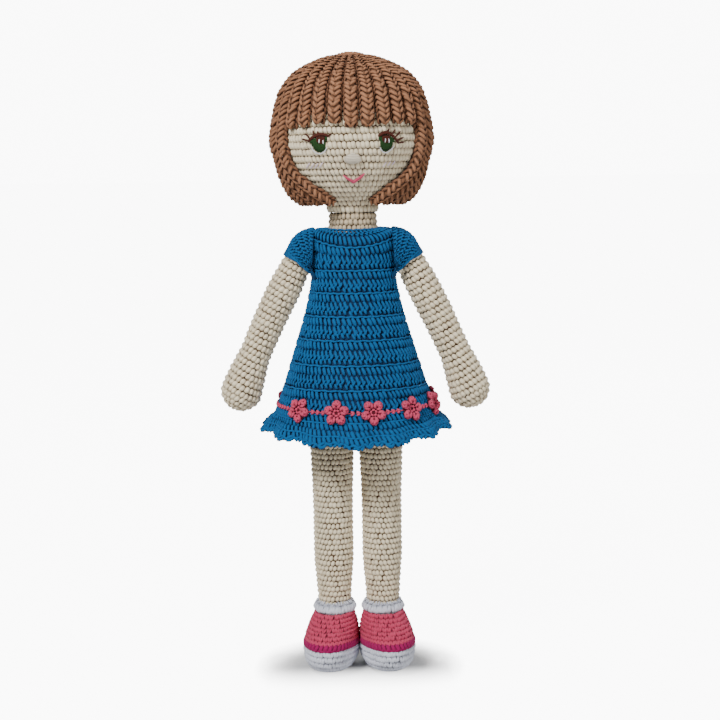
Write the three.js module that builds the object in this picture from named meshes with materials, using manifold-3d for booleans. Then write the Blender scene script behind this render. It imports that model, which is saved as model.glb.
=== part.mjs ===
// A stuffed crochet doll in a dress, standing on its shoes and facing -Y.
// Millimetres, +Z up. The origin is on the floor, midway between the feet.
import * as THREE from "three";
import { mergeVertices } from "three/addons/utils/BufferGeometryUtils.js";
import Module from "manifold-3d";

const wasm = await Module();
wasm.setup();

// Fabric and clearances
const SKIN_WALL = 2.2;
const DRESS_WALL = 2;
const CLEARANCE = 0.35;
const FILLING_CLEARANCE = 0.8;
const CUT_OVERRUN = 6;
const VERTEX_TOLERANCE = 0.0001;

// Torso and neck
const TORSO_BOTTOM = 187;
const TORSO_HEIGHT = 129;
const TORSO_HALF_WIDTH = 31;
const TORSO_HALF_DEPTH = 20.5;
const TORSO_SHARES = [
  [0, 0.62, 0.66],
  [0.04, 0.88, 0.9],
  [0.1, 1, 1],
  [0.24, 0.97, 0.98],
  [0.42, 0.88, 0.94],
  [0.6, 0.83, 0.92],
  [0.76, 0.84, 0.91],
  [0.82, 0.835, 0.89],
  [0.85, 0.77, 0.86],
  [0.873, 0.6, 0.82],
  [1, 0.525, 0.79],
];

// Dress
const DRESS_TOP = 304.5;
const BODICE_HEIGHT = 52.5;
const SKIRT_HEIGHT = 74;
const BODICE_HALF_WIDTH = 31.8;
const BODICE_DEPTH_SHARE = 0.765;
const NECKLINE_RADIUS = 19.4;
const SKIRT_HALF_WIDTH = 54.4;
const SKIRT_HALF_DEPTH = 45;
const RUFFLE_HEIGHT = 14;
const RUFFLE_SIDE_RISE = 6.5;
const RUFFLE_HALF_WIDTH = 63.5;
const RUFFLE_HALF_DEPTH = 54;
const RUFFLE_WAVE = 2.4;
const RUFFLE_WAVES = 14;
const SHOULDER_DROP_SHARES = [0, 0.025, 0.08, 0.24, 0.68, 0.82, 1];
const SHOULDER_WIDTH_SHARES = [0, 0.64, 0.865, 0.885, 0.885, 0.935, 1];

// Sleeves
const SLEEVE_ROOT_HALF_HEIGHT = 17;
const SLEEVE_ROOT_HALF_DEPTH = 16;
const SLEEVE_ROOT_RISE = 0.8;
const SLEEVE_HEM_RADIUS = 12.2;
const SLEEVE_HEM_OUT = 3.6;
const SLEEVE_HEM_DOWN = 7;
const SLEEVE_HEM_TILT = 46;
const SLEEVE_PUFF = 1.6;

// Arms
const SHOULDER_X = 35.6;
const SHOULDER_Z = 288;
const SHOULDER_RADIUS = 8.9;
const ARM_LEAN = 27.5;
const ARM_LENGTH = 102;
const ARM_RADIUS = 10.4;
const HAND_RADIUS = 13.6;
const HAND_BEND = 5;
const ARM_SHARES = [0.1, 0.22, 0.36, 0.5, 0.64, 0.76, 0.88, 1];
const ARM_RADIUS_SHARES = [0.92, 1.02, 1.03, 1.01, 0.98, 1.01, 1.18, 1.3];

// Thread joints of the arms
const BUTTON_RADIUS = 4.4;
const BUTTON_THICKNESS = 1.8;
const BUTTON_RIM = 0.7;
const TIE_RADIUS = 0.8;
const KNOT_RADIUS = 1.9;
const BUTTON_INSET = 4;
const TORSO_KNOT_DEPTH = 5;

// Legs
const HIP_X = 16.9;
const HIP_Z = 186;
const HIP_RADIUS = 14.5;
const LEG_BOTTOM = 39;
const LEG_SHARES = [0.12, 0.26, 0.42, 0.58, 0.74, 0.86, 0.94, 1];
const LEG_RADIUS_SHARES = [1, 0.98, 0.92, 0.905, 0.9, 0.81, 0.755, 0.75];

// Shoes
const TOE_OUT = 6;
const SHOE_OFFSET = 1.8;
const SHOE_HALF_WIDTH = 18.4;
const TOE_REACH = 42;
const HEEL_REACH = 15.5;
const SOLE_HEIGHT = 18.5;
const STRIPE_HEIGHT = 3.6;
const UPPER_HEIGHT = 16;
const CUFF_HEIGHT = 5;
const CUFF_WALL = 2.1;
const SOLE_SHARES = [
  [0, 0.7, 0.5, 0.8],
  [0.06, 0.8, 0.58, 0.88],
  [0.14, 0.88, 0.69, 0.93],
  [0.25, 0.94, 0.82, 0.97],
  [0.4, 0.98, 0.92, 0.99],
  [0.6, 1, 0.99, 1],
  [1, 1, 1, 1],
];
const STRIPE_SHARES = [
  [0, 1, 0.998, 1],
  [1, 0.985, 0.975, 0.985],
];
const UPPER_SHARES = [
  [0, 0.98, 0.968, 0.98],
  [0.3, 0.93, 0.86, 0.955],
  [0.6, 0.83, 0.67, 0.93],
  [0.85, 0.74, 0.47, 0.9],
  [1, 0.705, 0.37, 0.87],
];
const TOE_SQUARENESS = 2.25;

// Head
const HEAD_BOTTOM = 316.4;
const HEAD_HEIGHT = 102.8;
const HEAD_HALF_WIDTH = 48.8;
const HEAD_DEPTH_SHARE = 0.94;
const HEAD_HEIGHT_SHARES = [
  1, 0.98, 0.948, 0.9125, 0.877, 0.842, 0.778, 0.722, 0.6615, 0.587, 0.527, 0.463,
  0.4045, 0.3265, 0.239, 0.1415, 0.084, 0.0395, 0,
];
const HEAD_RADIUS_SHARES = [
  0.02, 0.273, 0.446, 0.573, 0.675, 0.746, 0.838, 0.886, 0.922, 0.961, 0.988, 1,
  0.977, 0.895, 0.783, 0.603, 0.44, 0.352, 0.34,
];
const DOWEL_RADIUS = 3.5;
const DOWEL_LENGTH = 88;
const DOWEL_ABOVE_SEAM = 40;

// Hair
const HAIR_BOTTOM_RISE = 1.6;
const HAIR_TOP_RISE = 4.4;
const HAIR_STAND_OFF = 6.6;
const HAIR_BOTTOM = HEAD_BOTTOM + HAIR_BOTTOM_RISE;
const HAIR_HEIGHT = HEAD_HEIGHT + HAIR_TOP_RISE - HAIR_BOTTOM_RISE;
const HAIR_HALF_WIDTH = HEAD_HALF_WIDTH + HAIR_STAND_OFF;
const CROWN_HAIR_THICKNESS = 3.6;
const SIDE_HAIR_THICKNESS = 5.3;
const THICKENING_SHARE = 0.35;
const HAIR_HEIGHT_SHARES = [
  1, 0.976, 0.941, 0.905, 0.8655, 0.792, 0.7055, 0.535, 0.4215, 0.284, 0.208, 0.1355,
  0.068, 0.0265, 0,
];
const HAIR_RADIUS_SHARES = [
  0.02, 0.3, 0.483, 0.62, 0.725, 0.84, 0.915, 0.985, 1, 0.935, 0.903, 0.845, 0.75,
  0.63, 0.49,
];
const BANG_COUNT = 9;
const BANG_TURN = 12.5;
const STRAND_GAP = 0.7;
const BANG_END_SHARE = 0.5;
const LOCK_END_SHARE = 0.97;
const CROWN_START_SHARE = 0.05;
const LOCK_SWING_TURN = 32;
const JAW_DRAW_SHARE = 0.27;
const SWING_START_SHARE = 0.6;
const SWING_END_SHARE = 0.95;
const BACK_RIBS = 13;
const RIB_STEPS = 2;
const LOCK_STEPS = 9;
const BANG_STEPS = 6;
const STRAND_EDGE_SHARE = 0.42;
const TIP_SHARE = 0.2;
const TIP_NARROWING_SHARE = 0.5;
const RIB_DEPTH_SHARE = 0.7;
const CROWN_CAP_SHARE = 0.86;
const BRIDGE_HALF_TURN = 60;

// Face
const EYE_TURN = 26.3;
const EYE_HEIGHT = 361.2;
const EYE_HALF_WIDTH = 4.4;
const EYE_HALF_HEIGHT = 4.9;
const NOSE_HEIGHT = 352.4;
const NOSE_HALF_WIDTH = 4.6;
const NOSE_HALF_HEIGHT = 3.6;
const NOSE_BULGE = 2.6;
const MOUTH_HEIGHT = 342.2;
const MOUTH_HALF_WIDTH = 6.2;
const MOUTH_DROP = 4.4;
const MOUTH_YARN = 1.2;
const EYE_THICKNESS = 0.9;

// Flowers on the skirt
const FLOWER_FRONT_TURNS = [-44, -13.5, 12.5, 43, 73];
const FLOWER_BACK_COUNT = 6;
const FLOWER_LAST_TURN = 245;
const FLOWER_RADIUS = 8.8;
const FLOWER_THICKNESS = 3.2;
const FLOWER_WAIST_SHARE = 0.62;
const FLOWER_SHOULDER_SHARE = 0.86;
const FLOWER_BOSS_SHARE = 0.4;
const PETALS = 5;
const PETAL_POINTS = 3;
const FLOWER_LINE_RISE = 7;
const CHAIN_RADIUS = 0.9;
const CHAIN_STEPS = 44;
const CHAIN_SIDES = 4;

// Facet counts
const BODY_SIDES = 18;
const LIMB_SIDES = 12;
const SHOE_SIDES = 16;
const DRESS_SIDES = 24;
const DOME_STEPS = 2;
const STUFFING_SIDES = 10;
const ROOM_SIDES = 14;
const BORE_SIDES = 8;
const HEAD_STEPS = 11;
const WAVE_STEPS = 4;

const WHOLE_TURN = Math.PI * 2;
const HALF_TURN_DEGREES = 180;
const radians = THREE.MathUtils.degToRad;

// Materials
function yarn(color, roughness = 0.9) {
  return new THREE.MeshStandardMaterial({ color, roughness, metalness: 0 });
}
const SKIN = yarn(0xd8cdb8);
const HAIR = yarn(0x8f674c);
const DRESS = yarn(0x0d6aa3);
const PINK = yarn(0xd2607f);
const MAGENTA = yarn(0xb3146f);
const WHITE = yarn(0xe4e4ea);
const FILL = yarn(0xf2f0ea, 1);
const WOOD = yarn(0xc9a877, 0.6);
const BUTTON = yarn(0xe9e2d0, 0.35);
const THREAD = yarn(0xded6c4, 0.8);
const EYE_GREEN = yarn(0x2f5a2c);
const MOUTH_PINK = yarn(0xc64a6c);

// Geometry helpers
function volumeOf(points, index) {
  let sum = 0;
  for (let i = 0; i < index.length; i += 3) {
    const [a, b, c] = [points[index[i]], points[index[i + 1]], points[index[i + 2]]];
    sum += a.dot(b.clone().cross(c));
  }
  return sum;
}

function closedGeometry(points, index) {
  if (volumeOf(points, index) < 0) index.reverse();
  return new THREE.BufferGeometry().setFromPoints(points).setIndex(index);
}

// Skins a row of rings that have the same number of points, and closes both ends at a tip.
function loft(rings, firstTip, lastTip) {
  const count = rings[0].length;
  const middle = (ring) =>
    ring.reduce((sum, p) => sum.add(p), new THREE.Vector3()).divideScalar(count);
  const points = rings.flat();
  points.push(firstTip ?? middle(rings[0]), lastTip ?? middle(rings.at(-1)));
  const index = [];
  for (let k = 0; k < count; k++) {
    const next = (k + 1) % count;
    index.push(points.length - 2, next, k);
    const last = (rings.length - 1) * count;
    index.push(points.length - 1, last + k, last + next);
    for (let r = 0; r < last; r += count) {
      index.push(r + k, r + next, r + count + k);
      index.push(r + next, r + count + next, r + count + k);
    }
  }
  return closedGeometry(points, index);
}

function ellipse(x, y, z, halfWidth, halfDepth, sides) {
  return Array.from({ length: sides }, (_, k) => {
    const turn = (k * WHOLE_TURN) / sides;
    return new THREE.Vector3(
      x + halfWidth * Math.sin(turn),
      y - halfDepth * Math.cos(turn),
      z,
    );
  });
}

// A thick patch: place(across -1..1, along 0..1, lift) gives a point, and low and high give its two faces.
function patch(place, acrossSteps, alongSteps, low, high) {
  const width = acrossSteps + 1;
  const points = [];
  for (const lift of [low, high])
    for (let j = 0; j <= alongSteps; j++)
      for (let i = 0; i <= acrossSteps; i++) {
        const across = (2 * i) / acrossSteps - 1;
        const along = j / alongSteps;
        points.push(place(across, along, lift(across, along)));
      }
  const layer = width * (alongSteps + 1);
  const index = [];
  const quad = (a, b, c, d) => index.push(a, b, c, a, c, d);
  for (let j = 0; j < alongSteps; j++)
    for (let i = 0; i < acrossSteps; i++) {
      const a = j * width + i;
      quad(a, a + 1, a + 1 + width, a + width);
      quad(layer + a, layer + a + width, layer + a + 1 + width, layer + a + 1);
    }
  const border = [];
  for (let i = 0; i < acrossSteps; i++) border.push(i);
  for (let j = 0; j < alongSteps; j++) border.push(j * width + acrossSteps);
  for (let i = acrossSteps; i > 0; i--) border.push(alongSteps * width + i);
  for (let j = alongSteps; j > 0; j--) border.push(j * width);
  border.forEach((a, n) => {
    const b = border[(n + 1) % border.length];
    quad(a, a + layer, b + layer, b);
  });
  return closedGeometry(points, index);
}

function solidOf(geometry) {
  const bare = geometry.clone();
  bare.deleteAttribute("normal");
  bare.deleteAttribute("uv");
  const merged = mergeVertices(bare, VERTEX_TOLERANCE);
  return new wasm.Manifold(
    new wasm.Mesh({
      numProp: 3,
      vertProperties: merged.attributes.position.array,
      triVerts: new Uint32Array(merged.index.array),
    }),
  );
}

function geometryOf(solid) {
  const made = solid.getMesh();
  const geometry = new THREE.BufferGeometry();
  geometry.setAttribute(
    "position",
    new THREE.BufferAttribute(new Float32Array(made.vertProperties), made.numProp),
  );
  geometry.setIndex(new THREE.BufferAttribute(new Uint32Array(made.triVerts), 1));
  return geometry;
}

function cut(geometry, ...tools) {
  return geometryOf(
    tools.reduce((left, tool) => left.subtract(solidOf(tool)), solidOf(geometry)),
  );
}

function piece(name, geometry, material) {
  const mesh = new THREE.Mesh(geometry, material);
  mesh.name = name;
  return mesh;
}

// A round bar along X, from one x to another.
function barAlongX(radius, from, to, y, z, sides) {
  return new THREE.CylinderGeometry(radius, radius, to - from, sides)
    .rotateZ(Math.PI / 2)
    .translate((from + to) / 2, y, z);
}

// Samples of a smooth curve through rows of numbers.
function smoothRows(rows, count) {
  const curve = new THREE.CatmullRomCurve3(
    rows.map((row) => new THREE.Vector3(row[0], row[1], row[2] ?? 0)),
    false,
    "centripetal",
  );
  return curve.getPoints(count).map((p) => [p.x, p.y, p.z]);
}

// Torso, with its neck in one piece
function torsoRings(inset, topExtra, sides, steps) {
  const rows = smoothRows(TORSO_SHARES, steps);
  return rows.map(([share, width, depth], n) => {
    const end = n === 0 ? inset : 0;
    const top = n === rows.length - 1 ? topExtra : 0;
    return ellipse(
      0,
      0,
      TORSO_BOTTOM + share * TORSO_HEIGHT + end + top,
      width * TORSO_HALF_WIDTH - inset,
      depth * TORSO_HALF_DEPTH - inset,
      sides,
    );
  });
}

// The radius that keeps a faceted ball's flats at the one given.
function facetedRadius(radius) {
  return radius / Math.cos(Math.PI / ROOM_SIDES) ** 2;
}

// The room that a swinging leg needs: its domed top, and the thigh when it points forward.
function legRoom(side, grow) {
  const radius = facetedRadius(HIP_RADIUS + CLEARANCE + grow);
  const dome = new THREE.SphereGeometry(radius, ROOM_SIDES, ROOM_SIDES / 2);
  const thigh = new THREE.CylinderGeometry(
    radius,
    radius,
    TORSO_HALF_DEPTH * 2,
    ROOM_SIDES,
  ).translate(0, -TORSO_HALF_DEPTH, 0);
  return geometryOf(solidOf(dome).add(solidOf(thigh))).translate(
    side * HIP_X,
    0,
    HIP_Z,
  );
}

function armRoom(side, grow) {
  const radius = facetedRadius(SHOULDER_RADIUS + CLEARANCE + grow);
  return new THREE.SphereGeometry(radius, ROOM_SIDES, ROOM_SIDES / 2).translate(
    side * SHOULDER_X,
    0,
    SHOULDER_Z,
  );
}

const TIE_START = SHOULDER_X - SHOULDER_RADIUS - SKIN_WALL - TORSO_KNOT_DEPTH;
const TIE_END = SHOULDER_X - BUTTON_INSET + BUTTON_THICKNESS + KNOT_RADIUS;

function tieHole(side, grow) {
  const from = TIE_START - KNOT_RADIUS - CLEARANCE;
  const hole = barAlongX(TIE_RADIUS + grow, from, SHOULDER_X, 0, SHOULDER_Z, BORE_SIDES);
  return side > 0 ? hole : hole.rotateZ(Math.PI);
}

function knotRoom(side) {
  const radius = KNOT_RADIUS + CLEARANCE;
  const to = TIE_START + KNOT_RADIUS + CLEARANCE;
  const room = barAlongX(radius, TIE_START - radius, to, 0, SHOULDER_Z, BORE_SIDES);
  return side > 0 ? room : room.rotateZ(Math.PI);
}

const DOWEL_TOP = HEAD_BOTTOM + DOWEL_ABOVE_SEAM;
const DOWEL_BOTTOM = DOWEL_TOP - DOWEL_LENGTH;

function dowel(grow) {
  const radius = DOWEL_RADIUS + grow;
  const bar = new THREE.CapsuleGeometry(
    radius,
    DOWEL_LENGTH - 2 * DOWEL_RADIUS,
    DOME_STEPS,
    BORE_SIDES,
  );
  return bar.rotateX(Math.PI / 2).translate(0, 0, (DOWEL_TOP + DOWEL_BOTTOM) / 2);
}

function torso() {
  const steps = TORSO_SHARES.length - 1;
  const both = [-1, 1];
  const outside = cut(
    loft(torsoRings(0, 0, BODY_SIDES, steps)),
    ...both.map((side) => legRoom(side, 0)),
    ...both.map((side) => armRoom(side, 0)),
  );
  const inside = cut(
    loft(torsoRings(SKIN_WALL, CUT_OVERRUN, BODY_SIDES, steps)),
    ...both.map((side) => legRoom(side, SKIN_WALL)),
    ...both.map((side) => armRoom(side, SKIN_WALL)),
  );
  const skin = cut(
    outside,
    inside,
    ...both.map((side) => tieHole(side, CLEARANCE)),
  );
  const inset = SKIN_WALL + CLEARANCE;
  const filling = cut(
    loft(torsoRings(inset, 0, BODY_SIDES, steps)),
    ...both.map((side) => legRoom(side, inset)),
    ...both.map((side) => armRoom(side, inset)),
    ...both.map((side) => tieHole(side, CLEARANCE)),
    ...both.map(knotRoom),
    dowel(CLEARANCE),
  );
  return [
    piece("torso_skin", skin, SKIN),
    piece("torso_stuffing", filling, FILL),
    piece("neck_dowel", dowel(0), WOOD),
  ];
}

// Dress
const BODICE_BOTTOM = DRESS_TOP - BODICE_HEIGHT;
const SKIRT_BOTTOM = BODICE_BOTTOM - SKIRT_HEIGHT;
const FLOWER_LINE_HEIGHT = SKIRT_BOTTOM + FLOWER_LINE_RISE;

function bodiceRings(inset, topRise) {
  return SHOULDER_DROP_SHARES.map((drop, n) => {
    const open = Math.max(SHOULDER_WIDTH_SHARES[n] * BODICE_HALF_WIDTH, NECKLINE_RADIUS);
    const deep = Math.max(open * BODICE_DEPTH_SHARE, NECKLINE_RADIUS);
    const rise = n === 0 ? topRise : 0;
    return ellipse(
      0,
      0,
      DRESS_TOP - drop * BODICE_HEIGHT + rise,
      open - inset,
      deep - inset,
      DRESS_SIDES,
    );
  });
}

function skirtSection(share, inset) {
  const from = BODICE_HALF_WIDTH;
  const fromDepth = BODICE_HALF_WIDTH * BODICE_DEPTH_SHARE;
  return [
    THREE.MathUtils.lerp(from, SKIRT_HALF_WIDTH, share) - inset,
    THREE.MathUtils.lerp(fromDepth, SKIRT_HALF_DEPTH, share) - inset,
    BODICE_BOTTOM - share * SKIRT_HEIGHT,
  ];
}

function flared(from, to, steps, section, extra) {
  return Array.from({ length: steps + 1 }, (_, n) => {
    const [halfWidth, halfDepth, z] = section(from + ((to - from) * n) / steps);
    const end = n === 0 ? extra : n === steps ? -extra : 0;
    return ellipse(0, 0, z + end, halfWidth, halfDepth, DRESS_SIDES);
  });
}

function skirt() {
  const steps = 3;
  const outside = loft(flared(0, 1, steps, (share) => skirtSection(share, 0), -CLEARANCE / 2));
  const inside = loft(
    flared(0, 1, steps, (share) => skirtSection(share, DRESS_WALL), CUT_OVERRUN),
  );
  return piece("dress_skirt", cut(outside, inside), DRESS);
}

// The hem ruffle waves more and more towards its edge, which is higher at the sides.
function ruffleRing(share, inset, extra) {
  const sides = RUFFLE_WAVES * WAVE_STEPS;
  const mean = THREE.MathUtils.lerp(SKIRT_HALF_WIDTH, RUFFLE_HALF_WIDTH, share) - inset;
  const deep = THREE.MathUtils.lerp(SKIRT_HALF_DEPTH, RUFFLE_HALF_DEPTH, share) - inset;
  const level = SKIRT_BOTTOM - CLEARANCE - share * RUFFLE_HEIGHT + extra;
  return Array.from({ length: sides }, (_, k) => {
    const turn = (k * WHOLE_TURN) / sides;
    const wave = RUFFLE_WAVE * share * Math.cos(RUFFLE_WAVES * turn);
    const z = level + RUFFLE_SIDE_RISE * share * Math.sin(turn) ** 2;
    return new THREE.Vector3(
      (mean + wave) * Math.sin(turn),
      -(deep + wave) * Math.cos(turn),
      z,
    );
  });
}

function ruffle() {
  const shares = [0, 0.5, 1];
  const last = shares.length - 1;
  const outside = loft(shares.map((share) => ruffleRing(share, 0, 0)));
  const inside = loft(
    shares.map((share, n) =>
      ruffleRing(share, DRESS_WALL, n === 0 ? CUT_OVERRUN : n === last ? -CUT_OVERRUN : 0),
    ),
  );
  return piece("hem_ruffle", cut(outside, inside), DRESS);
}

function bodice() {
  const armholes = barAlongX(
    SHOULDER_RADIUS,
    -BODICE_HALF_WIDTH,
    BODICE_HALF_WIDTH,
    0,
    SHOULDER_Z,
    BODY_SIDES,
  );
  // Below the shoulders the hollow keeps the wall, and above them it fits the torso.
  const inside = bodiceRings(DRESS_WALL, 0).slice(3);
  inside.push(shifted(inside.at(-1), -CUT_OVERRUN));
  const fitted = torsoRings(-CLEARANCE, CUT_OVERRUN, BODY_SIDES, TORSO_SHARES.length - 1);
  const shell = cut(loft(bodiceRings(0, 0)), loft(inside), loft(fitted), armholes);
  return piece("dress_bodice", shell, DRESS);
}

// Sleeve: a puff from the armhole to a hem that hugs the arm, in the frame of the shoulder pivot.
const SLEEVE_ROOT_X = BODICE_HALF_WIDTH * SHOULDER_WIDTH_SHARES[3] + CLEARANCE - SHOULDER_X;

function sleeveRings(inset, extra) {
  const steps = 4;
  return Array.from({ length: steps + 1 }, (_, n) => {
    const share = n / steps;
    const tilt = radians(SLEEVE_HEM_TILT) * share;
    const puff = SLEEVE_PUFF * Math.sin(Math.PI * share) - inset;
    const tall = THREE.MathUtils.lerp(SLEEVE_ROOT_HALF_HEIGHT, SLEEVE_HEM_RADIUS, share) + puff;
    const deep = THREE.MathUtils.lerp(SLEEVE_ROOT_HALF_DEPTH, SLEEVE_HEM_RADIUS, share) + puff;
    const out = n === 0 ? -extra : n === steps ? extra : 0;
    const x = THREE.MathUtils.lerp(SLEEVE_ROOT_X, SLEEVE_HEM_OUT, share) + out * Math.cos(tilt);
    const z =
      THREE.MathUtils.lerp(SLEEVE_ROOT_RISE, -SLEEVE_HEM_DOWN, share) - out * Math.sin(tilt);
    return Array.from({ length: LIMB_SIDES }, (_, k) => {
      const turn = (k * WHOLE_TURN) / LIMB_SIDES;
      const up = tall * Math.cos(turn);
      return new THREE.Vector3(
        x + up * Math.sin(tilt),
        deep * Math.sin(turn),
        z + up * Math.cos(tilt),
      );
    });
  });
}

// Limbs are rows of [drop, shift, radius], from the domed top down
function limbRings(rows, sides) {
  return rows.map(([drop, shift, radius]) => ellipse(shift, 0, -drop, radius, radius, sides));
}

function domeRows(radius) {
  return Array.from({ length: DOME_STEPS }, (_, n) => {
    const turn = (Math.PI / 2) * (1 - (n + 1) / (DOME_STEPS + 1));
    return [-radius * Math.sin(turn), 0, radius * Math.cos(turn)];
  });
}

function armRows(inset) {
  const bendAt = (share) => -HAND_BEND * share ** 3;
  const rows = [...domeRows(SHOULDER_RADIUS - inset), [0, 0, SHOULDER_RADIUS - inset]];
  ARM_SHARES.forEach((share, n) => {
    rows.push([share * ARM_LENGTH, bendAt(share), ARM_RADIUS_SHARES[n] * ARM_RADIUS - inset]);
  });
  const hand = HAND_RADIUS - inset;
  for (let n = 1; n <= DOME_STEPS; n++) {
    const turn = ((Math.PI / 2) * n) / (DOME_STEPS + 1);
    rows.push([ARM_LENGTH + hand * Math.sin(turn), bendAt(1), hand * Math.cos(turn)]);
  }
  return rows;
}

function armLoft(inset, sides) {
  const hand = HAND_RADIUS - inset;
  return loft(
    limbRings(armRows(inset), sides),
    new THREE.Vector3(0, 0, SHOULDER_RADIUS - inset),
    new THREE.Vector3(-HAND_BEND, 0, -ARM_LENGTH - hand),
  );
}

function button() {
  const half = BUTTON_THICKNESS / 2;
  const rim = BUTTON_RADIUS - BUTTON_RIM;
  const hole = TIE_RADIUS + CLEARANCE;
  const profile = [
    [hole, -half],
    [BUTTON_RADIUS, -half],
    [BUTTON_RADIUS, half],
    [rim, half],
    [rim - BUTTON_RIM, half - BUTTON_RIM / 2],
    [hole, half - BUTTON_RIM / 2],
    [hole, -half],
  ].map(([x, y]) => new THREE.Vector2(x, y));
  return new THREE.LatheGeometry(profile, STUFFING_SIDES).rotateZ(-Math.PI / 2);
}

function tie() {
  const stem = barAlongX(TIE_RADIUS, TIE_START, TIE_END, 0, 0, BORE_SIDES);
  const knot = new THREE.SphereGeometry(KNOT_RADIUS, BORE_SIDES, BORE_SIDES / 2);
  const ends = [TIE_START, TIE_END].map((x) => knot.clone().translate(x, 0, 0));
  return geometryOf(
    ends.reduce((made, end) => made.add(solidOf(end)), solidOf(stem)),
  );
}

// An arm is made in the frame of its shoulder pivot, leaning out from the body.
function arm(side, word) {
  const lean = (geometry) => geometry.rotateY(radians(-ARM_LEAN));
  const tieFrom = -SHOULDER_RADIUS - CUT_OVERRUN;
  const bore = barAlongX(TIE_RADIUS + CLEARANCE, tieFrom, 0, 0, 0, BORE_SIDES);
  const buttonX = -BUTTON_INSET + BUTTON_THICKNESS / 2;
  const buttonEnd = TIE_END - SHOULDER_X + KNOT_RADIUS + CLEARANCE;
  const pocket = barAlongX(
    BUTTON_RADIUS + CLEARANCE,
    -SHOULDER_RADIUS,
    buttonEnd,
    0,
    0,
    STUFFING_SIDES,
  );
  const inset = SKIN_WALL + FILLING_CLEARANCE;
  const skin = cut(
    lean(armLoft(0, LIMB_SIDES)),
    lean(armLoft(SKIN_WALL, LIMB_SIDES)),
    bore,
  );
  const filling = cut(lean(armLoft(inset, STUFFING_SIDES)), bore, pocket);
  const outer = loft(sleeveRings(0, 0));
  const inner = loft(sleeveRings(DRESS_WALL, CUT_OVERRUN));
  const bodySide = bodiceRings(-CLEARANCE, CUT_OVERRUN).map((ring) =>
    ring.map((p) => new THREE.Vector3(p.x - SHOULDER_X, p.y, p.z - SHOULDER_Z)),
  );
  bodySide.push(
    flared(0, 1, 1, (share) => skirtSection(share, -CLEARANCE), 0)[1].map(
      (p) => new THREE.Vector3(p.x - SHOULDER_X, p.y, p.z - SHOULDER_Z),
    ),
  );
  // The root ends flat, so that it turns beside the bodice without touching it.
  const beside = barAlongX(
    2 * SLEEVE_ROOT_HALF_HEIGHT,
    SLEEVE_ROOT_X - SHOULDER_RADIUS,
    SLEEVE_ROOT_X,
    0,
    0,
    BORE_SIDES,
  );
  const sleeve = cut(
    outer,
    inner,
    beside,
    loft(bodySide),
    lean(armLoft(-CLEARANCE, LIMB_SIDES)),
  );
  const group = new THREE.Group();
  group.position.set(side * SHOULDER_X, 0, SHOULDER_Z);
  group.scale.x = side;
  group.add(
    piece(`arm_skin_${word}`, skin, SKIN),
    piece(`arm_stuffing_${word}`, filling, FILL),
    piece(`arm_button_${word}`, button().translate(buttonX, 0, 0), BUTTON),
    piece(`sleeve_${word}`, sleeve, DRESS),
  );
  return group;
}

function shoulderTie(side, word) {
  const mesh = piece(`shoulder_tie_${word}`, tie(), THREAD);
  mesh.position.z = SHOULDER_Z;
  mesh.scale.x = side;
  return mesh;
}

// Shoes: egg-shaped level rings, rows of [height share, width share, toe share, heel share]
function shoeRing(row, base, height, inset) {
  const [share, width, toe, heel] = row;
  const halfWidth = width * SHOE_HALF_WIDTH - inset;
  const front = toe * TOE_REACH - inset;
  const back = heel * HEEL_REACH - inset;
  return Array.from({ length: SHOE_SIDES }, (_, k) => {
    const turn = (k * WHOLE_TURN) / SHOE_SIDES;
    const forward = Math.cos(turn);
    const sideways = Math.sin(turn);
    const power = forward > 0 ? 2 / TOE_SQUARENESS : 1;
    const reach = forward > 0 ? front : back;
    const z = base + share * height;
    const rise = THREE.MathUtils.clamp((z - UPPER_BASE) / UPPER_HEIGHT, 0, 1);
    const offset = SHOE_OFFSET * (1 - rise);
    return new THREE.Vector3(
      offset + halfWidth * Math.sign(sideways) * Math.abs(sideways) ** power,
      -reach * Math.sign(forward) * Math.abs(forward) ** power,
      z,
    );
  });
}

function shoeRings(shares, base, height, inset) {
  return shares.map((row) => shoeRing(row, base, height, inset));
}

function shifted(ring, rise) {
  return ring.map((p) => new THREE.Vector3(p.x, p.y, p.z + rise));
}

function level(ring, z) {
  return ring.map((p) => new THREE.Vector3(p.x, p.y, z));
}

// A level band of the shoe's wall, open at the top and bottom.
function shoeBand(shares, base, height) {
  const inner = shoeRings(shares, base, height, SKIN_WALL);
  inner.push(shifted(inner.at(-1), CUT_OVERRUN));
  inner.unshift(shifted(inner[0], -CUT_OVERRUN));
  return cut(loft(shoeRings(shares, base, height, 0)), loft(inner));
}

// The inside of the sole, from its floor up.
function soleRoom(inset) {
  const rings = shoeRings(SOLE_SHARES.slice(1), 0, SOLE_HEIGHT, inset);
  rings[0] = level(rings[0], inset);
  return rings;
}

function soleSolid() {
  const room = soleRoom(SKIN_WALL);
  room.push(shifted(room.at(-1), CUT_OVERRUN));
  return cut(loft(shoeRings(SOLE_SHARES, 0, SOLE_HEIGHT, 0)), loft(room));
}

const STRIPE_BASE = SOLE_HEIGHT + CLEARANCE;
const UPPER_BASE = STRIPE_BASE + STRIPE_HEIGHT + CLEARANCE;
const CUFF_BASE = UPPER_BASE + UPPER_HEIGHT + CLEARANCE;
const ANKLE_RADIUS = HIP_RADIUS * LEG_RADIUS_SHARES.at(-1);

function legRows(inset) {
  const length = HIP_Z - LEG_BOTTOM;
  const rows = [...domeRows(HIP_RADIUS - inset), [0, 0, HIP_RADIUS - inset]];
  LEG_SHARES.forEach((share, n) => {
    rows.push([share * length, 0, LEG_RADIUS_SHARES[n] * HIP_RADIUS - inset]);
  });
  return rows;
}

function raisedRings(rows, sides) {
  return limbRings(rows, sides).map((ring) => shifted(ring, HIP_Z));
}

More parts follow.
